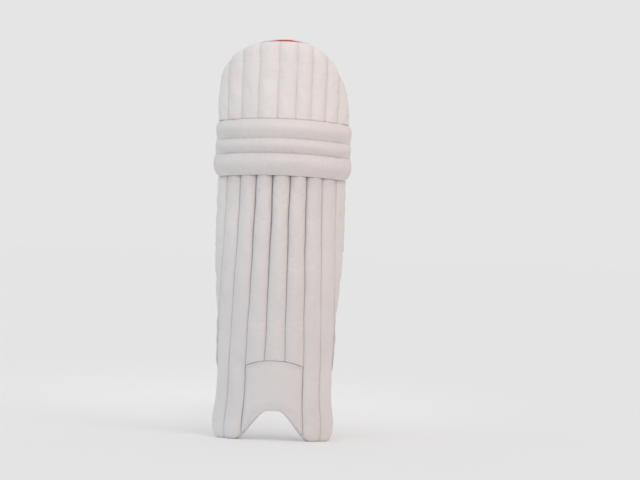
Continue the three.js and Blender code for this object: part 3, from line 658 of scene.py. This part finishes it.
def printed_lining(name, pale, mid, deep):
    """Orange polyester with a tonal print of drifting contour lines, over a fine knitted face, darkened by
    painted shade near its seams.
    """
    finish = Finish(name, 0.8, sheen=0.2)
    drift = finish.noise(finish.place, 11.0, 0.6, 2.2)
    level = finish.add("ShaderNodeMath", {0: drift, 1: 42.0}, operation="MULTIPLY").outputs[0]
    contour = finish.add("ShaderNodeMath", {0: level}, operation="SINE").outputs[0]
    patches = finish.noise(finish.place, 16.0, 1.0, 1.0)
    tone = finish.mix(finish.ramp(patches, 0.42, 0.62), mid, pale)
    shares = {0: finish.ramp(contour, 0.35, 0.95), 1: finish.ramp(patches, 0.30, 0.70)}
    line = finish.add("ShaderNodeMath", shares, operation="MULTIPLY").outputs[0]
    tone = finish.mix(line, tone, deep)
    # Painted shade: darker orange where the painted_shade attribute asks, along seams and the bound rim.
    colour = finish.mix(finish.read("painted_shade", "Fac"), tone, darker(deep, 0.6))
    wales = finish.bump(finish.wave(finish.place, 420.0, "X"), 0.1, 0.0003)
    return finish.wear(colour, finish.bump(finish.wave(finish.place, 330.0, "Z"), 0.15, 0.0003, wales))


orange_print = printed_lining(
    "orange_printed_lining", (0.82, 0.135, 0.062, 1), (0.74, 0.098, 0.045, 1), (0.55, 0.052, 0.03, 1)
)
hat_lining = bent_block("top_hat_lining_cloth", 140, 50, hat_lining_place)
pad(hat_lining, orange_print, "top_hat_lining")


# Knee cushion. The soft white band inside the knee, behind the rolls, with a fuller roll along its lower
# edge where it bears on the top of the shin.
CUSHION_DEPTH, CUSHION_ROLL, CUSHION_ROLL_HIGH = 12.0, 8.0, 0.36
CUSHION_MARGIN = math.radians(1.5)
CUSHION_TOP_ROUND, CUSHION_TOP_FULLNESS = 0.2, 0.5
CUSHION_FOLDS, CUSHION_FOLD_WAVES = 0.7, (35, 60, 95)
# The cushion's height, then painted shade in the crease above its lower roll and its reach.
CUSHION_TALL, CUSHION_CREASE_SHADE, CUSHION_CREASE_REACH = 90, 0.6, 2.0


def cushion_place(u, v, w):
    low = KNEE_LOW + KNEE_DROOP
    height = low + (KNEE_HIGH - SEAM_GAP - low) * v
    reach = knee_reach(height)
    angle = (2 * u - 1) * (reach - CUSHION_MARGIN)
    to_end = (reach - np.abs(angle)) * KNEE_RADIUS
    round_ = rounded_end(to_end, KNEE_END_ROUND, KNEE_END_FULLNESS)
    roll = np.where(v < CUSHION_ROLL_HIGH, pillow(np.clip(v / CUSHION_ROLL_HIGH, 0, 1)), 0)
    upper = rounded_end(1 - v, CUSHION_TOP_ROUND, CUSHION_TOP_FULLNESS)
    slanting = angle * KNEE_RADIUS + 0.4 * height
    folds = CUSHION_FOLDS * ripple(slanting, 400, CUSHION_FOLD_WAVES) * upper
    deep = (CUSHION_DEPTH * upper + CUSHION_ROLL * roll + folds) * round_
    face = KNEE_RADIUS - KNEE_BACK - SEAM_GAP
    # Painted shade along the crease above the lower roll.
    near = np.exp(-np.abs(v - CUSHION_ROLL_HIGH) * CUSHION_TALL / CUSHION_CREASE_REACH)
    points = drooped(on_arc(knee_middle, face - deep * (1 - w), angle, height))
    return points, CUSHION_CREASE_SHADE * near * (1 - w)


cushion = bent_block("knee_cushion_band", 110, 60, cushion_place)
pad(cushion, white_face, "knee_cushion", cap=1.5)


# Calf lining. A thin padded strip of the orange printed cloth up the middle of the inside, on the backs of
# the three middle canes.
LINING_LOW, LINING_DEPTH, LINING_SIDE_ROUND, LINING_SIDE_FULLNESS = 147.0, 8.0, 0.2, 0.6
LINING_FOLDS, LINING_FOLD_WAVES, PAD_TALL = 0.5, (60, 100), 300
pad_high = KNEE_LOW - SEAM_GAP


def calf_lining_place(u, v, w):
    height = LINING_LOW + (pad_high - LINING_LOW) * v
    radius, middle = shin_plan(height)[:2]
    angle = np.arcsin(LINING_HALF / (radius - CANE_DEPTH)) * (2 * u - 1)
    to_side = np.minimum(u, 1 - u)
    folds = LINING_FOLDS * ripple(height, 410, LINING_FOLD_WAVES) * pillow(u)
    deep = LINING_DEPTH * rounded_end(to_side, LINING_SIDE_ROUND, LINING_SIDE_FULLNESS) + folds
    to_seam = np.minimum(to_side * 2 * LINING_HALF, np.minimum(v, 1 - v) * PAD_TALL)
    # Painted shade near the strip's seams.
    near = np.exp(-to_seam / SEAM_SHADE_REACH)
    return on_arc(middle, radius - CANE_DEPTH - SEAM_GAP - deep * (1 - w), angle, height), near


calf_lining = bent_block("calf_lining_strip", 40, 110, calf_lining_place)
pad(calf_lining, orange_print, "calf_lining", cap=1.2)


# Side bolsters. Two long soft white cushions either side of the orange strip, which hold the leg in the
# middle of the guard and keep it off the wings.
BOLSTER_LOW, BOLSTER_DEPTH, BOLSTER_EDGE = 130.0, 18.0, 7.0
BOLSTER_REACH, BOLSTER_WIDE, BOLSTER_END_FULLNESS = math.radians(57), 50, 0.5
BOLSTER_FOLDS, BOLSTER_FOLD_WAVES = 0.6, (40, 70, 110)


def bolster_place(sign):
    def place(u, v, w):
        share = seam_steps(u if sign > 0 else 1 - u)
        height = BOLSTER_LOW + (pad_high - BOLSTER_LOW) * v
        radius, middle = shin_plan(height)[:2]
        start = np.arcsin((LINING_HALF + SEAM_GAP) / (radius - CANE_DEPTH)) + SEAM_GAP / radius
        to_end = np.minimum(height - BOLSTER_LOW, pad_high - height)
        ends = rounded_end(to_end, FOOT_ROUND, BOLSTER_END_FULLNESS)
        folds = BOLSTER_FOLDS * ripple(height, 420 + sign, BOLSTER_FOLD_WAVES) * pillow(share)
        deep = (BOLSTER_EDGE + (BOLSTER_DEPTH - BOLSTER_EDGE) * pillow(share) + folds) * ends
        to_seam = np.minimum(np.minimum(share, 1 - share) * BOLSTER_WIDE, np.minimum(v, 1 - v) * PAD_TALL)
        # Painted shade near the bolster's seams.
        near = np.exp(-to_seam / SEAM_SHADE_REACH)
        angle = sign * (start + (BOLSTER_REACH - start) * share)
        return on_arc(middle, radius - CANE_DEPTH - SEAM_GAP - deep * (1 - w), angle, height), near

    return place


for side, sign in (("left", -1), ("right", 1)):
    bolster = bent_block(f"soft_bolster_{side}", 20, 110, bolster_place(sign))
    pad(bolster, white_lining, f"side_bolster_{side}", cap=1.5)


# Straps. Three soft white woven bands sewn to the right edge that pass behind the leg. Each has a red woven
# stripe sewn along its lower half, a row of sewing along each border and a box of stitches at its sewn end.
STRAPS = {
    "knee": dict(low=476.0, high=509.0, bow=30.0, end=93.0, drop=0.0, stripe=(480.5, 489.0)),
    "calf": dict(low=328.0, high=383.0, bow=27.0, end=88.0, drop=0.0, stripe=(333.0, 347.0)),
    "ankle": dict(low=124.0, high=156.0, bow=38.0, end=76.0, drop=6.0, stripe=(127.0, 135.0)),
}
STRAP_DEPTH, STRIPE_DEPTH, STRIPE_INSET, STRAP_QUARTER_BOW = 3.0, 1.0, 4.0, 0.78
CUSHION_END_SHARE, STRAP_WING_LEAST = 0.4, 10.0
STRAP_ROUND, STRIPE_ROUND, BAND_EDGE_FULLNESS, BAND_SWAY, BAND_SWAY_WAVES = 3.0, 1.0, 0.35, 0.5, (55, 90)
ROW_SPAN, BORDER_ROWS, STRIPE_ROWS = (0.02, 0.985), (0.2, 0.8), (0.25, 0.75)
BOX_ACROSS, BOX_UP = (0.05, 0.13), (0.32, 0.72)


def edge_corner(height, is_outer):
    """A corner of the guard's right edge in plan, moved out by half the strap's thickness."""
    if height > KNEE_LOW:
        middle, angle = knee_middle, KNEE_REACH
        outer = KNEE_RADIUS + LOWER_ROLL_SWELL * KNEE_END_FULLNESS
        inner = KNEE_RADIUS - KNEE_BACK - CUSHION_DEPTH * CUSHION_END_SHARE
    else:
        radius, middle, _, _, angle = shin_plan(height)
        outer = radius - CANE_GROOVE
        inner = outer - (WING_WEB if smooth_column(WING_WIDTH, height) > STRAP_WING_LEAST else CANE_WEB)
    reach = outer if is_outer else inner
    clear = SEAM_GAP + STRAP_DEPTH / 2
    x = reach * math.sin(angle) + clear * math.cos(angle)
    return np.array([x, middle - reach * math.cos(angle) + clear * math.sin(angle)])


def read_path(path, marks, at):
    """Points of a plan path at any marks, between the marks that its own points have."""
    return np.stack([np.interp(at, marks, path[:, k]) for k in (0, 1)], -1)


def path_marks(path):
    """The distance along a path of each of its points."""
    return np.concatenate([[0], np.cumsum(np.linalg.norm(np.diff(path, axis=0), axis=1))])


def smooth_path(corners, count):
    """Even steps along a smooth plan curve through corners."""
    corners = np.array(corners)
    padded = np.vstack([2 * corners[0] - corners[1], corners, 2 * corners[-1] - corners[-2]])
    gaps = np.linalg.norm(np.diff(padded, axis=0), axis=1) ** 0.5
    steps = np.linspace(0, 1, 40)[:, None]
    pieces = []
    for i in range(1, len(padded) - 2):
        before, start, stop, after = padded[i - 1:i + 3]
        d0, d1, d2 = gaps[i - 1:i + 2]
        leave = d1 * ((start - before) / d0 - (stop - before) / (d0 + d1) + (stop - start) / d1)
        arrive = d1 * ((stop - start) / d1 - (after - start) / (d1 + d2) + (after - stop) / d2)
        bend = 2 * start - 2 * stop + leave + arrive
        turn = 3 * stop - 3 * start - 2 * leave - arrive
        pieces.append(bend * steps**3 + turn * steps**2 + leave * steps + start)
    fine = np.concatenate(pieces)
    marks = path_marks(fine)
    return read_path(fine, marks, np.linspace(0, marks[-1], count))


def path_length(path):
    return float(np.linalg.norm(np.diff(path, axis=0), axis=1).sum())


def trimmed(path, start, stop):
    """The part of an even path between two distances along it."""
    return read_path(path, path_marks(path), np.linspace(start, stop, len(path)))


def path_outward(path):
    tangent = np.gradient(path, axis=0)
    tangent /= np.linalg.norm(tangent, axis=1, keepdims=True)
    return np.stack([tangent[:, 1], -tangent[:, 0]], -1)


def band_place(path, low, high, depth, slope, edge_round, seed):
    """A soft band standing along a plan path, thinned towards its two long edges."""
    outward = path_outward(path)

    def place(u, v, w):
        marks, at = np.arange(len(path)), u * (len(path) - 1)
        spot, out = read_path(path, marks, at), read_path(outward, marks, at)
        share = seam_steps(v)
        height = low + (high - low) * share
        to_edge = np.minimum(height - low, high - height)
        thick = depth * rounded_end(to_edge, edge_round, BAND_EDGE_FULLNESS)
        sway = BAND_SWAY * ripple(spot[:, 0], seed, BAND_SWAY_WAVES) * pillow(u) * min(depth / STRAP_DEPTH, 1)
        flat = spot + out * (thick * (w - 0.5) + sway)[:, None]
        return np.column_stack([flat, height + slope * spot[:, 0]]), np.zeros(len(u))

    return place


def woven_cloth(name, colour, shade, ribs, picks, roughness, sheen):
    """A woven band: ribs along its length crossed by finer picks, by the piece's own cloth coordinates."""
    finish = Finish(name, roughness, sheen)
    cloth = finish.read("cloth", "Vector")
    weft = finish.wave(cloth, picks, "Y")
    tone = finish.cloudy(colour, finish.noise(cloth, 60.0, 3.0), 0.3, 0.7, 0.93)
    tone = finish.mix(finish.ramp(weft, 0.55, 0.0), tone, shade)
    warp = finish.bump(finish.wave(cloth, ribs, "X"), 0.25, 0.0003)
    return finish.wear(tone, finish.bump(weft, 0.35, 0.0004, warp))


def growth_tree(name, result, **given):
    """An empty geometry node tree with its named inputs and its one output."""
    tree = bpy.data.node_groups.new(name, "GeometryNodeTree")
    for label, kind in given.items():
        tree.interface.new_socket(label, in_out="INPUT", socket_type=f"NodeSocket{kind}")
    tree.interface.new_socket(result, in_out="OUTPUT", socket_type="NodeSocketGeometry")
    return tree


def finish_growth(grow, shape, material, result):
    """Ends a tree: makes its shape real, gives it a material and hands it out."""
    real = grow.add("GeometryNodeRealizeInstances", {"Geometry": shape}).outputs["Geometry"]
    paint = grow.add("GeometryNodeSetMaterial", {"Geometry": real, "Material": material})
    grow.add("NodeGroupOutput", {result: paint.outputs["Geometry"]})


def seam_sewing():
    """Geometry nodes that turn lines into rows of thread stitches, lying along the line and facing out."""
    sockets = dict(Lines="Geometry", Pitch="Float", Stitch="Float", Thickness="Float", Thread="Material")
    tree = growth_tree("sewn_rows", "Stitches", **sockets)
    grow = Nodes(tree)
    given = grow.add("NodeGroupInput").outputs
    curve = grow.add("GeometryNodeMeshToCurve", {"Mesh": given["Lines"]}).outputs["Curve"]
    inputs = {"Curve": curve, "Length": given["Pitch"]}
    spots = grow.add("GeometryNodeResampleCurve", inputs, mode="LENGTH").outputs["Curve"]
    tangent = grow.add("GeometryNodeInputTangent").outputs["Tangent"]
    align = "FunctionNodeAlignRotationToVector"
    along = grow.add(align, {"Vector": tangent}, axis="X").outputs["Rotation"]
    facing = grow.add("GeometryNodeInputNamedAttribute", {"Name": "facing"}, data_type="FLOAT_VECTOR")
    inputs = {"Rotation": along, "Vector": facing.outputs["Attribute"]}
    upright = grow.add(align, inputs, axis="Z", pivot_axis="X").outputs["Rotation"]
    thread = grow.add("GeometryNodeMeshUVSphere", {"Segments": 6, "Rings": 4, "Radius": 0.5}).outputs["Mesh"]
    inputs = {"X": given["Stitch"], "Y": given["Thickness"], "Z": given["Thickness"]}
    size = grow.add("ShaderNodeCombineXYZ", inputs).outputs["Vector"]
    inputs = {"Points": spots, "Instance": thread, "Rotation": upright, "Scale": size}
    sewn = grow.add("GeometryNodeInstanceOnPoints", inputs).outputs["Instances"]
    finish_growth(grow, sewn, given["Thread"], "Stitches")
    return tree


sewing = seam_sewing()


def grown(piece, tree, **inputs):
    """Runs a node tree on a piece's lines and keeps the mesh that it makes."""
    growth = piece.modifiers.new("growth", "NODES")
    growth.node_group = tree
    for socket in tree.interface.items_tree:
        if socket.in_out == "INPUT" and socket.name in inputs:
            growth[socket.identifier] = inputs[socket.name]
    piece.update_tag()
    done = piece.evaluated_get(bpy.context.evaluated_depsgraph_get())
    mesh = bpy.data.meshes.new_from_object(done)
    piece.modifiers.remove(growth)
    piece.data = mesh
    mesh.polygons.foreach_set("use_smooth", np.ones(len(mesh.polygons), bool))
    return piece


def lines(name, rows):
    """One mesh of lines: each row is its points in metres and the way that each faces."""
    points = np.concatenate([row[0] for row in rows])
    edges, start = [], 0
    for row, _ in rows:
        edges += [(start + i, start + i + 1) for i in range(len(row) - 1)]
        start += len(row)
    mesh = bpy.data.meshes.new(name)
    mesh.from_pydata(points.tolist(), edges, [])
    facing = np.concatenate([row[1] for row in rows]).astype(np.float32)
    mesh.attributes.new("facing", "FLOAT_VECTOR", "POINT").data.foreach_set("vector", facing.ravel())
    piece = bpy.data.objects.new(name, mesh)
    bpy.context.scene.collection.objects.link(piece)
    return piece


def row_on(piece, place, u, v, w, lift=0.15):
    """A row of points laid on a piece's finished surface, from its block's shares."""
    shares = np.broadcast_arrays(np.asarray(u, float), np.asarray(v, float), np.asarray(w, float))
    spots, facing = [], []
    for point in in_metres(place(*shares)[0]):
        _, spot, normal, _ = piece.closest_point_on_mesh(point.tolist())
        spots.append(np.array(spot) + np.array(normal) * lift * MM)
        facing.append(np.array(normal))
    return np.array(spots), np.array(facing)


def sew(name, rows, pitch=3.2, stitch=2.4, thickness=0.55, thread=None):
    sizes = dict(Pitch=pitch * MM, Stitch=stitch * MM, Thickness=thickness * MM)
    row = grown(lines(name, rows), sewing, **sizes, Thread=thread)
    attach(row, "root")


STRAP_WHITE, STRAP_SHADE = (0.80, 0.775, 0.765, 1), (0.66, 0.64, 0.64, 1)
strap_cloth = woven_cloth("white_strap_cloth", STRAP_WHITE, STRAP_SHADE, 260.0, 320.0, 0.78, 0.2)
WEBBING_RED, WEBBING_SHADE = (0.56, 0.028, 0.032, 1), (0.36, 0.014, 0.018, 1)
red_webbing = woven_cloth("red_webbing", WEBBING_RED, WEBBING_SHADE, 420.0, 300.0, 0.7, 0.2)
THREAD_WHITE, THREAD_WHITE_SHADE = (0.74, 0.72, 0.71, 1), (0.6, 0.58, 0.57, 1)
white_thread = woven_cloth("white_thread", THREAD_WHITE, THREAD_WHITE_SHADE, 900.0, 900.0, 0.6, 0.1)
THREAD_RED, THREAD_RED_SHADE = (0.62, 0.05, 0.05, 1), (0.45, 0.02, 0.02, 1)
red_thread = woven_cloth("red_thread", THREAD_RED, THREAD_RED_SHADE, 900.0, 900.0, 0.6, 0.1)
strap_paths = {}
for seed, (name, strap) in enumerate(STRAPS.items()):
    low, high = strap["low"], strap["high"]
    heights = (low, (low + high) / 2, high)
    inner_corner = max((edge_corner(height, False) for height in heights), key=lambda corner: corner[1])
    outer_corner = max((edge_corner(height, True) for height in heights), key=lambda corner: corner[1])
    quarter = np.array([inner_corner[0] / 2, inner_corner[1] + STRAP_QUARTER_BOW * strap["bow"]])
    back = np.array([0.0, inner_corner[1] + strap["bow"]])
    mirror = np.array([-1.0, 1.0])
    corners = [outer_corner, inner_corner, quarter, back, quarter * mirror, inner_corner * mirror]
    whole = smooth_path(corners, 600)
    end = int(np.argmax(whole[:, 0] < -strap["end"]))
    length = path_length(whole[:end + 1])
    white_path = trimmed(whole[:end + 1], 0, length)[::4]
    slope = strap["drop"] / (2 * strap["end"])
    strap_paths[name] = (whole, end, inner_corner * mirror, outer_corner * mirror, slope)

    place = band_place(white_path, low, high, STRAP_DEPTH, slope, STRAP_ROUND, 500 + seed)
    band = bent_block(f"{name}_strap_band", 150, 16, place)
    dress(band, strap_cloth, f"{name}_strap")

    lift = STRAP_DEPTH / 2 + SEAM_GAP / 2 + STRIPE_DEPTH / 2
    stripe_path = trimmed(white_path, STRIPE_INSET, length - STRIPE_INSET)
    stripe_path = stripe_path + path_outward(stripe_path) * lift
    stripe_place = band_place(stripe_path, *strap["stripe"], STRIPE_DEPTH, slope, STRIPE_ROUND, 500 + seed)
    stripe = bent_block(f"{name}_stripe_webbing", 150, 8, stripe_place)
    dress(stripe, red_webbing, f"{name}_stripe")

    along = np.linspace(*ROW_SPAN, 90)
    rows = [row_on(band, place, along, share, 1.0) for share in BORDER_ROWS]
    rows.append(row_on(band, place, np.linspace(*BOX_ACROSS, 12), BOX_UP[1], 1.0))
    rows += [row_on(band, place, side, np.linspace(*BOX_UP, 12), 1.0) for side in BOX_ACROSS]
    sew(f"{name}_strap_sewing", rows, thread=white_thread)
    rows = [row_on(stripe, stripe_place, along, share, 1.0) for share in STRIPE_ROWS]
    sew(f"{name}_stripe_sewing", rows, thread=red_thread)


# Strap ends. Short cream tabs of hook-and-loop tape, sewn into the straps' free ends, that grip the left edge
# of the guard.
TAB_DEPTH, TAB_INSET, TAB_ROUND = 1.8, 2.0, 1.0


def looped_tape(name, colour, shade):
    """Loop tape: a dull mat of tiny loops in rows."""
    finish = Finish(name, 0.95, sheen=0.5)
    cloth = finish.read("cloth", "Vector")
    mat = finish.noise(cloth, 350.0, 6.0)
    tone = finish.mix(finish.ramp(mat, 0.35, 0.7), shade, colour)
    loops = finish.bump(finish.cells(cloth, 900.0), 0.4, 0.0005)
    return finish.wear(tone, finish.bump(mat, 0.5, 0.0008, loops))


cream_tape = looped_tape("cream_loop_tape", (0.82, 0.77, 0.64, 1), (0.72, 0.67, 0.54, 1))
for seed, (name, strap) in enumerate(STRAPS.items()):
    whole, end, inner_corner, outer_corner, slope = strap_paths[name]
    start = whole[end] + (whole[end + 1] - whole[end]) * 0.5
    tab_path = smooth_path([start, inner_corner, outer_corner], 40)
    low, high = strap["low"] + TAB_INSET, strap["high"] - TAB_INSET
    place = band_place(tab_path, low, high, TAB_DEPTH, slope, TAB_ROUND, 520 + seed)
    tab = bent_block(f"{name}_tab_tape", 30, 12, place)
    dress(tab, cream_tape, f"{name}_tab")


# Ankle keeper. A small flat loop of white webbing, sewn into a ring, that goes round the ankle strap and its
# stripe near the strap's sewn end.
KEEPER_PLACE, KEEPER_WIDTH, KEEPER_DEPTH, KEEPER_CLEAR = 70.0, 7.0, 1.6, 0.7
KEEPER_ROUND, KEEPER_EDGE_FULLNESS, KEEPER_SQUARE = 1.0, 0.4, 0.25
ankle = STRAPS["ankle"]
ankle_whole, *_, ankle_slope = strap_paths["ankle"]
keeper_at = int(np.argmax(ankle_whole[:, 0] < KEEPER_PLACE))
keeper_spot = ankle_whole[keeper_at]
keeper_out = path_outward(ankle_whole)[keeper_at]
keeper_along = np.array([-keeper_out[1], keeper_out[0]])


def squared(wave):
    """A wave filled out towards its corners, for a loop that is nearly a rectangle."""
    return np.sign(wave) * np.abs(wave) ** KEEPER_SQUARE


def keeper_place(u, v, w):
    """Round the loop by u, across its width by v and through its thickness by w."""
    turn = 2 * np.pi * u
    to_edge = np.minimum(v, 1 - v) * KEEPER_WIDTH
    grow = KEEPER_DEPTH * (0.5 + (w - 0.5) * rounded_end(to_edge, KEEPER_ROUND, KEEPER_EDGE_FULLNESS))
    inside = STRAP_DEPTH / 2 + KEEPER_CLEAR
    outside = inside + SEAM_GAP + STRIPE_DEPTH
    half = (ankle["high"] - ankle["low"]) / 2 + KEEPER_CLEAR
    away = (outside - inside) / 2 - ((outside + inside) / 2 + grow) * squared(np.cos(turn))
    height = (ankle["high"] + ankle["low"]) / 2 + (half + grow) * squared(np.sin(turn))
    flat = keeper_spot + away[:, None] * keeper_out + ((v - 0.5) * KEEPER_WIDTH)[:, None] * keeper_along
    return np.column_stack([flat, height + ankle_slope * flat[:, 0]]), np.zeros(len(u))


keeper = bent_block("ankle_keeper_loop", 96, 6, keeper_place)
dress(keeper, strap_cloth, "ankle_keeper")


# Sewing and piping. Rows of white thread hold the instep patch, the top hat's channels and the knee cushion,
# red thread holds the lining strip, and a thin pale piping is sewn round the top hat's lining.
HAT_ROW_SPAN, CUSHION_ROW_SPAN = (0.03, 0.97), (0.03, 0.97)
STRIP_ROW_SPAN, STRIP_ROWS = (0.01, 0.99), (0.04, 0.96)
INSTEP_ROWS, INSTEP_ROW_LOW = (0.035, 0.965), 0.08
PIPING_RADIUS, PIPING_DEEP, PIPING_STEPS = 1.3, 0.35, 160


def cord_edging():
    """Geometry nodes that turn a line into round piping."""
    tree = growth_tree("piping", "Piping", Line="Geometry", Radius="Float", Skin="Material")
    grow = Nodes(tree)
    given = grow.add("NodeGroupInput").outputs
    curve = grow.add("GeometryNodeMeshToCurve", {"Mesh": given["Line"]}).outputs["Curve"]
    inputs = {"Resolution": 8, "Radius": given["Radius"]}
    section = grow.add("GeometryNodeCurvePrimitiveCircle", inputs).outputs["Curve"]
    inputs = {"Fill Caps": True, "Curve": curve, "Profile Curve": section}
    finish_growth(grow, grow.add("GeometryNodeCurveToMesh", inputs).outputs["Mesh"], given["Skin"], "Piping")
    return tree


def hat_share(along, rise):
    """The shares across the hat's block for a distance along its arc, at shares of the height there."""
    shares = np.full_like(rise, 0.5)
    for _ in range(4):
        high = dome_spot(shares)[1]
        radius = hat_arc(KNEE_HIGH + high * rise)[1] - HAT_GROOVE
        across = radius * np.sin(along / radius) - HAT_APEX
        side = (across > 0).astype(int)
        share = np.clip(np.abs(across) / HAT_HALVES[side], 0, 1)
        shares = 0.5 + np.sign(across) * np.arcsin(share ** (HAT_SPREADS[side] / 2)) / np.pi
    return shares


rise = np.linspace(*HAT_ROW_SPAN, 60)
rows = [row_on(hat, hat_place, hat_share(seam, rise), rise, 1.0) for seam in HAT_SEAMS[1:-1]]
sew("top_hat_sewing", rows, pitch=3.6, stitch=2.6, thread=white_thread)

rows = [row_on(instep, instep_face, np.linspace(*INSTEP_ROWS, 60), INSTEP_ROWS[1], 1.0)]
climb = np.linspace(INSTEP_ROW_LOW, INSTEP_ROWS[1], 50)
rows += [row_on(instep, instep_face, side, climb, 1.0) for side in INSTEP_ROWS]
sew("instep_sewing", rows, thread=white_thread)

rows = [row_on(cushion, cushion_place, np.linspace(*CUSHION_ROW_SPAN, 120), CUSHION_ROLL_HIGH, 0.0)]
sew("knee_cushion_sewing", rows, thread=white_thread)
climb = np.linspace(*STRIP_ROW_SPAN, 120)
rows = [row_on(calf_lining, calf_lining_place, side, climb, 0.0) for side in STRIP_ROWS]
sew("calf_lining_sewing", rows, thread=red_thread)

along = np.linspace(0.0, 1.0, PIPING_STEPS)
rim_points = in_metres(hat_lining_place(along, np.ones(PIPING_STEPS), np.full(PIPING_STEPS, PIPING_DEEP))[0])
piping = lines("top_hat_piping", [(rim_points, np.zeros_like(rim_points))])
grown(piping, cord_edging(), Radius=PIPING_RADIUS * MM, Skin=white_lining)
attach(piping, "root")


# Studio. A plain pale floor under pale air that is cooler on the left and warmer on the right, a soft key
# from high in front and a warm lamp over the top, with the camera a little to the right and slightly out of
# level.
FLOOR_HALF, FLOOR_COLOURS = 60.0, ((0.895, 0.895, 0.89, 1), (0.905, 0.905, 0.90, 1))
PALE_AIR = (0.783, 0.783, 0.783, 1)
COOL_AIR, WARM_AIR = (0.645, 0.795, 0.875, 1), (0.78, 0.615, 0.565, 1)
KEY_STRENGTH, KEY_SPREAD, KEY_TILT, KEY_TURN = 0.5, 55, 33, 20
TOP_POWER, TOP_COLOUR, TOP_SPOT, TOP_SIZE = 60.0, (1.0, 0.88, 0.77), (0.12, -1.25, 1.45), 0.35
TOP_CONE, TOP_TILT, TOP_TURN = 20, 60, 5


def plain_floor():
    finish = Finish("pale_floor", 0.9)
    clouds = finish.noise(finish.place, 1.5)
    finish.shader["Specular IOR Level"].default_value = 0.0
    return finish.wear(finish.mix(clouds, *FLOOR_COLOURS), finish.bump(clouds, 0.01, 0.001))


floor_mesh = bpy.data.meshes.new("studio_floor")
floor_corners = [(-1, -1), (1, -1), (1, 1), (-1, 1)]
floor_mesh.from_pydata([(x * FLOOR_HALF, y * FLOOR_HALF, 0) for x, y in floor_corners], [], [(0, 1, 2, 3)])
floor = bpy.data.objects.new("studio_floor", floor_mesh)
bpy.context.scene.collection.objects.link(floor)
floor_mesh.materials.append(plain_floor())

world = bpy.data.worlds.new("studio_air")
bpy.context.scene.world = world
world.use_nodes = True
air = Nodes(world.node_tree)
direction = air.add("ShaderNodeTexCoord").outputs["Generated"]
sides = air.add("ShaderNodeSeparateXYZ", {0: direction}).outputs


def air_share(axis, low, high):
    inputs = {"Value": sides[axis], "From Min": low, "From Max": high}
    return air.add("ShaderNodeMapRange", inputs, interpolation_type="SMOOTHSTEP").outputs["Result"]


front_air = air.mix(air_share("X", -0.8, 0.8), COOL_AIR, WARM_AIR)
high_air = air.mix(air_share("Y", -0.1, 0.7), front_air, PALE_AIR)
whole_air = air.mix(air_share("Z", 0.06, 0.22), PALE_AIR, high_air)
air.feed(air.nodes["Background"].inputs["Color"], whole_air)


def hang(name, lamp, tilt, turn):
    """Puts a lamp in the scene, turned by degrees from pointing straight down."""
    light = bpy.data.objects.new(name, lamp)
    light.rotation_euler = (math.radians(tilt), 0.0, math.radians(turn))
    bpy.context.scene.collection.objects.link(light)
    return light


key_lamp = bpy.data.lights.new("soft_key", "SUN")
key_lamp.energy = KEY_STRENGTH
key_lamp.angle = math.radians(KEY_SPREAD)
hang("soft_key", key_lamp, KEY_TILT, KEY_TURN)

top_lamp = bpy.data.lights.new("top_light", "SPOT")
top_lamp.energy = TOP_POWER
top_lamp.color = TOP_COLOUR
top_lamp.shadow_soft_size = TOP_SIZE
top_lamp.spot_size = math.radians(TOP_CONE)
top_lamp.spot_blend = 1.0
hang("top_light", top_lamp, TOP_TILT, TOP_TURN).location = TOP_SPOT

CAMERA_SIDE, CAMERA_HEIGHT, CAMERA_BACK, CAMERA_ROLL = 70.2, 347.4, 5000.0, 2.2
PIXEL, IMAGE_WIDTH, FACE_PLANE = 1.725, 640, -30.0
lens = bpy.data.cameras.new("photo_camera")
lens.sensor_width = 36.0
lens.lens = lens.sensor_width * CAMERA_BACK / (PIXEL * IMAGE_WIDTH)
camera = bpy.data.objects.new("photo_camera", lens)
bpy.context.scene.collection.objects.link(camera)
camera.location = ((AXIS_X + CAMERA_SIDE) * MM, (FACE_PLANE - CAMERA_BACK) * MM, CAMERA_HEIGHT * MM)
camera.rotation_euler = (math.radians(90), -math.radians(CAMERA_ROLL), 0.0)
bpy.context.scene.camera = camera
bpy.context.scene.view_settings.view_transform = "Standard"
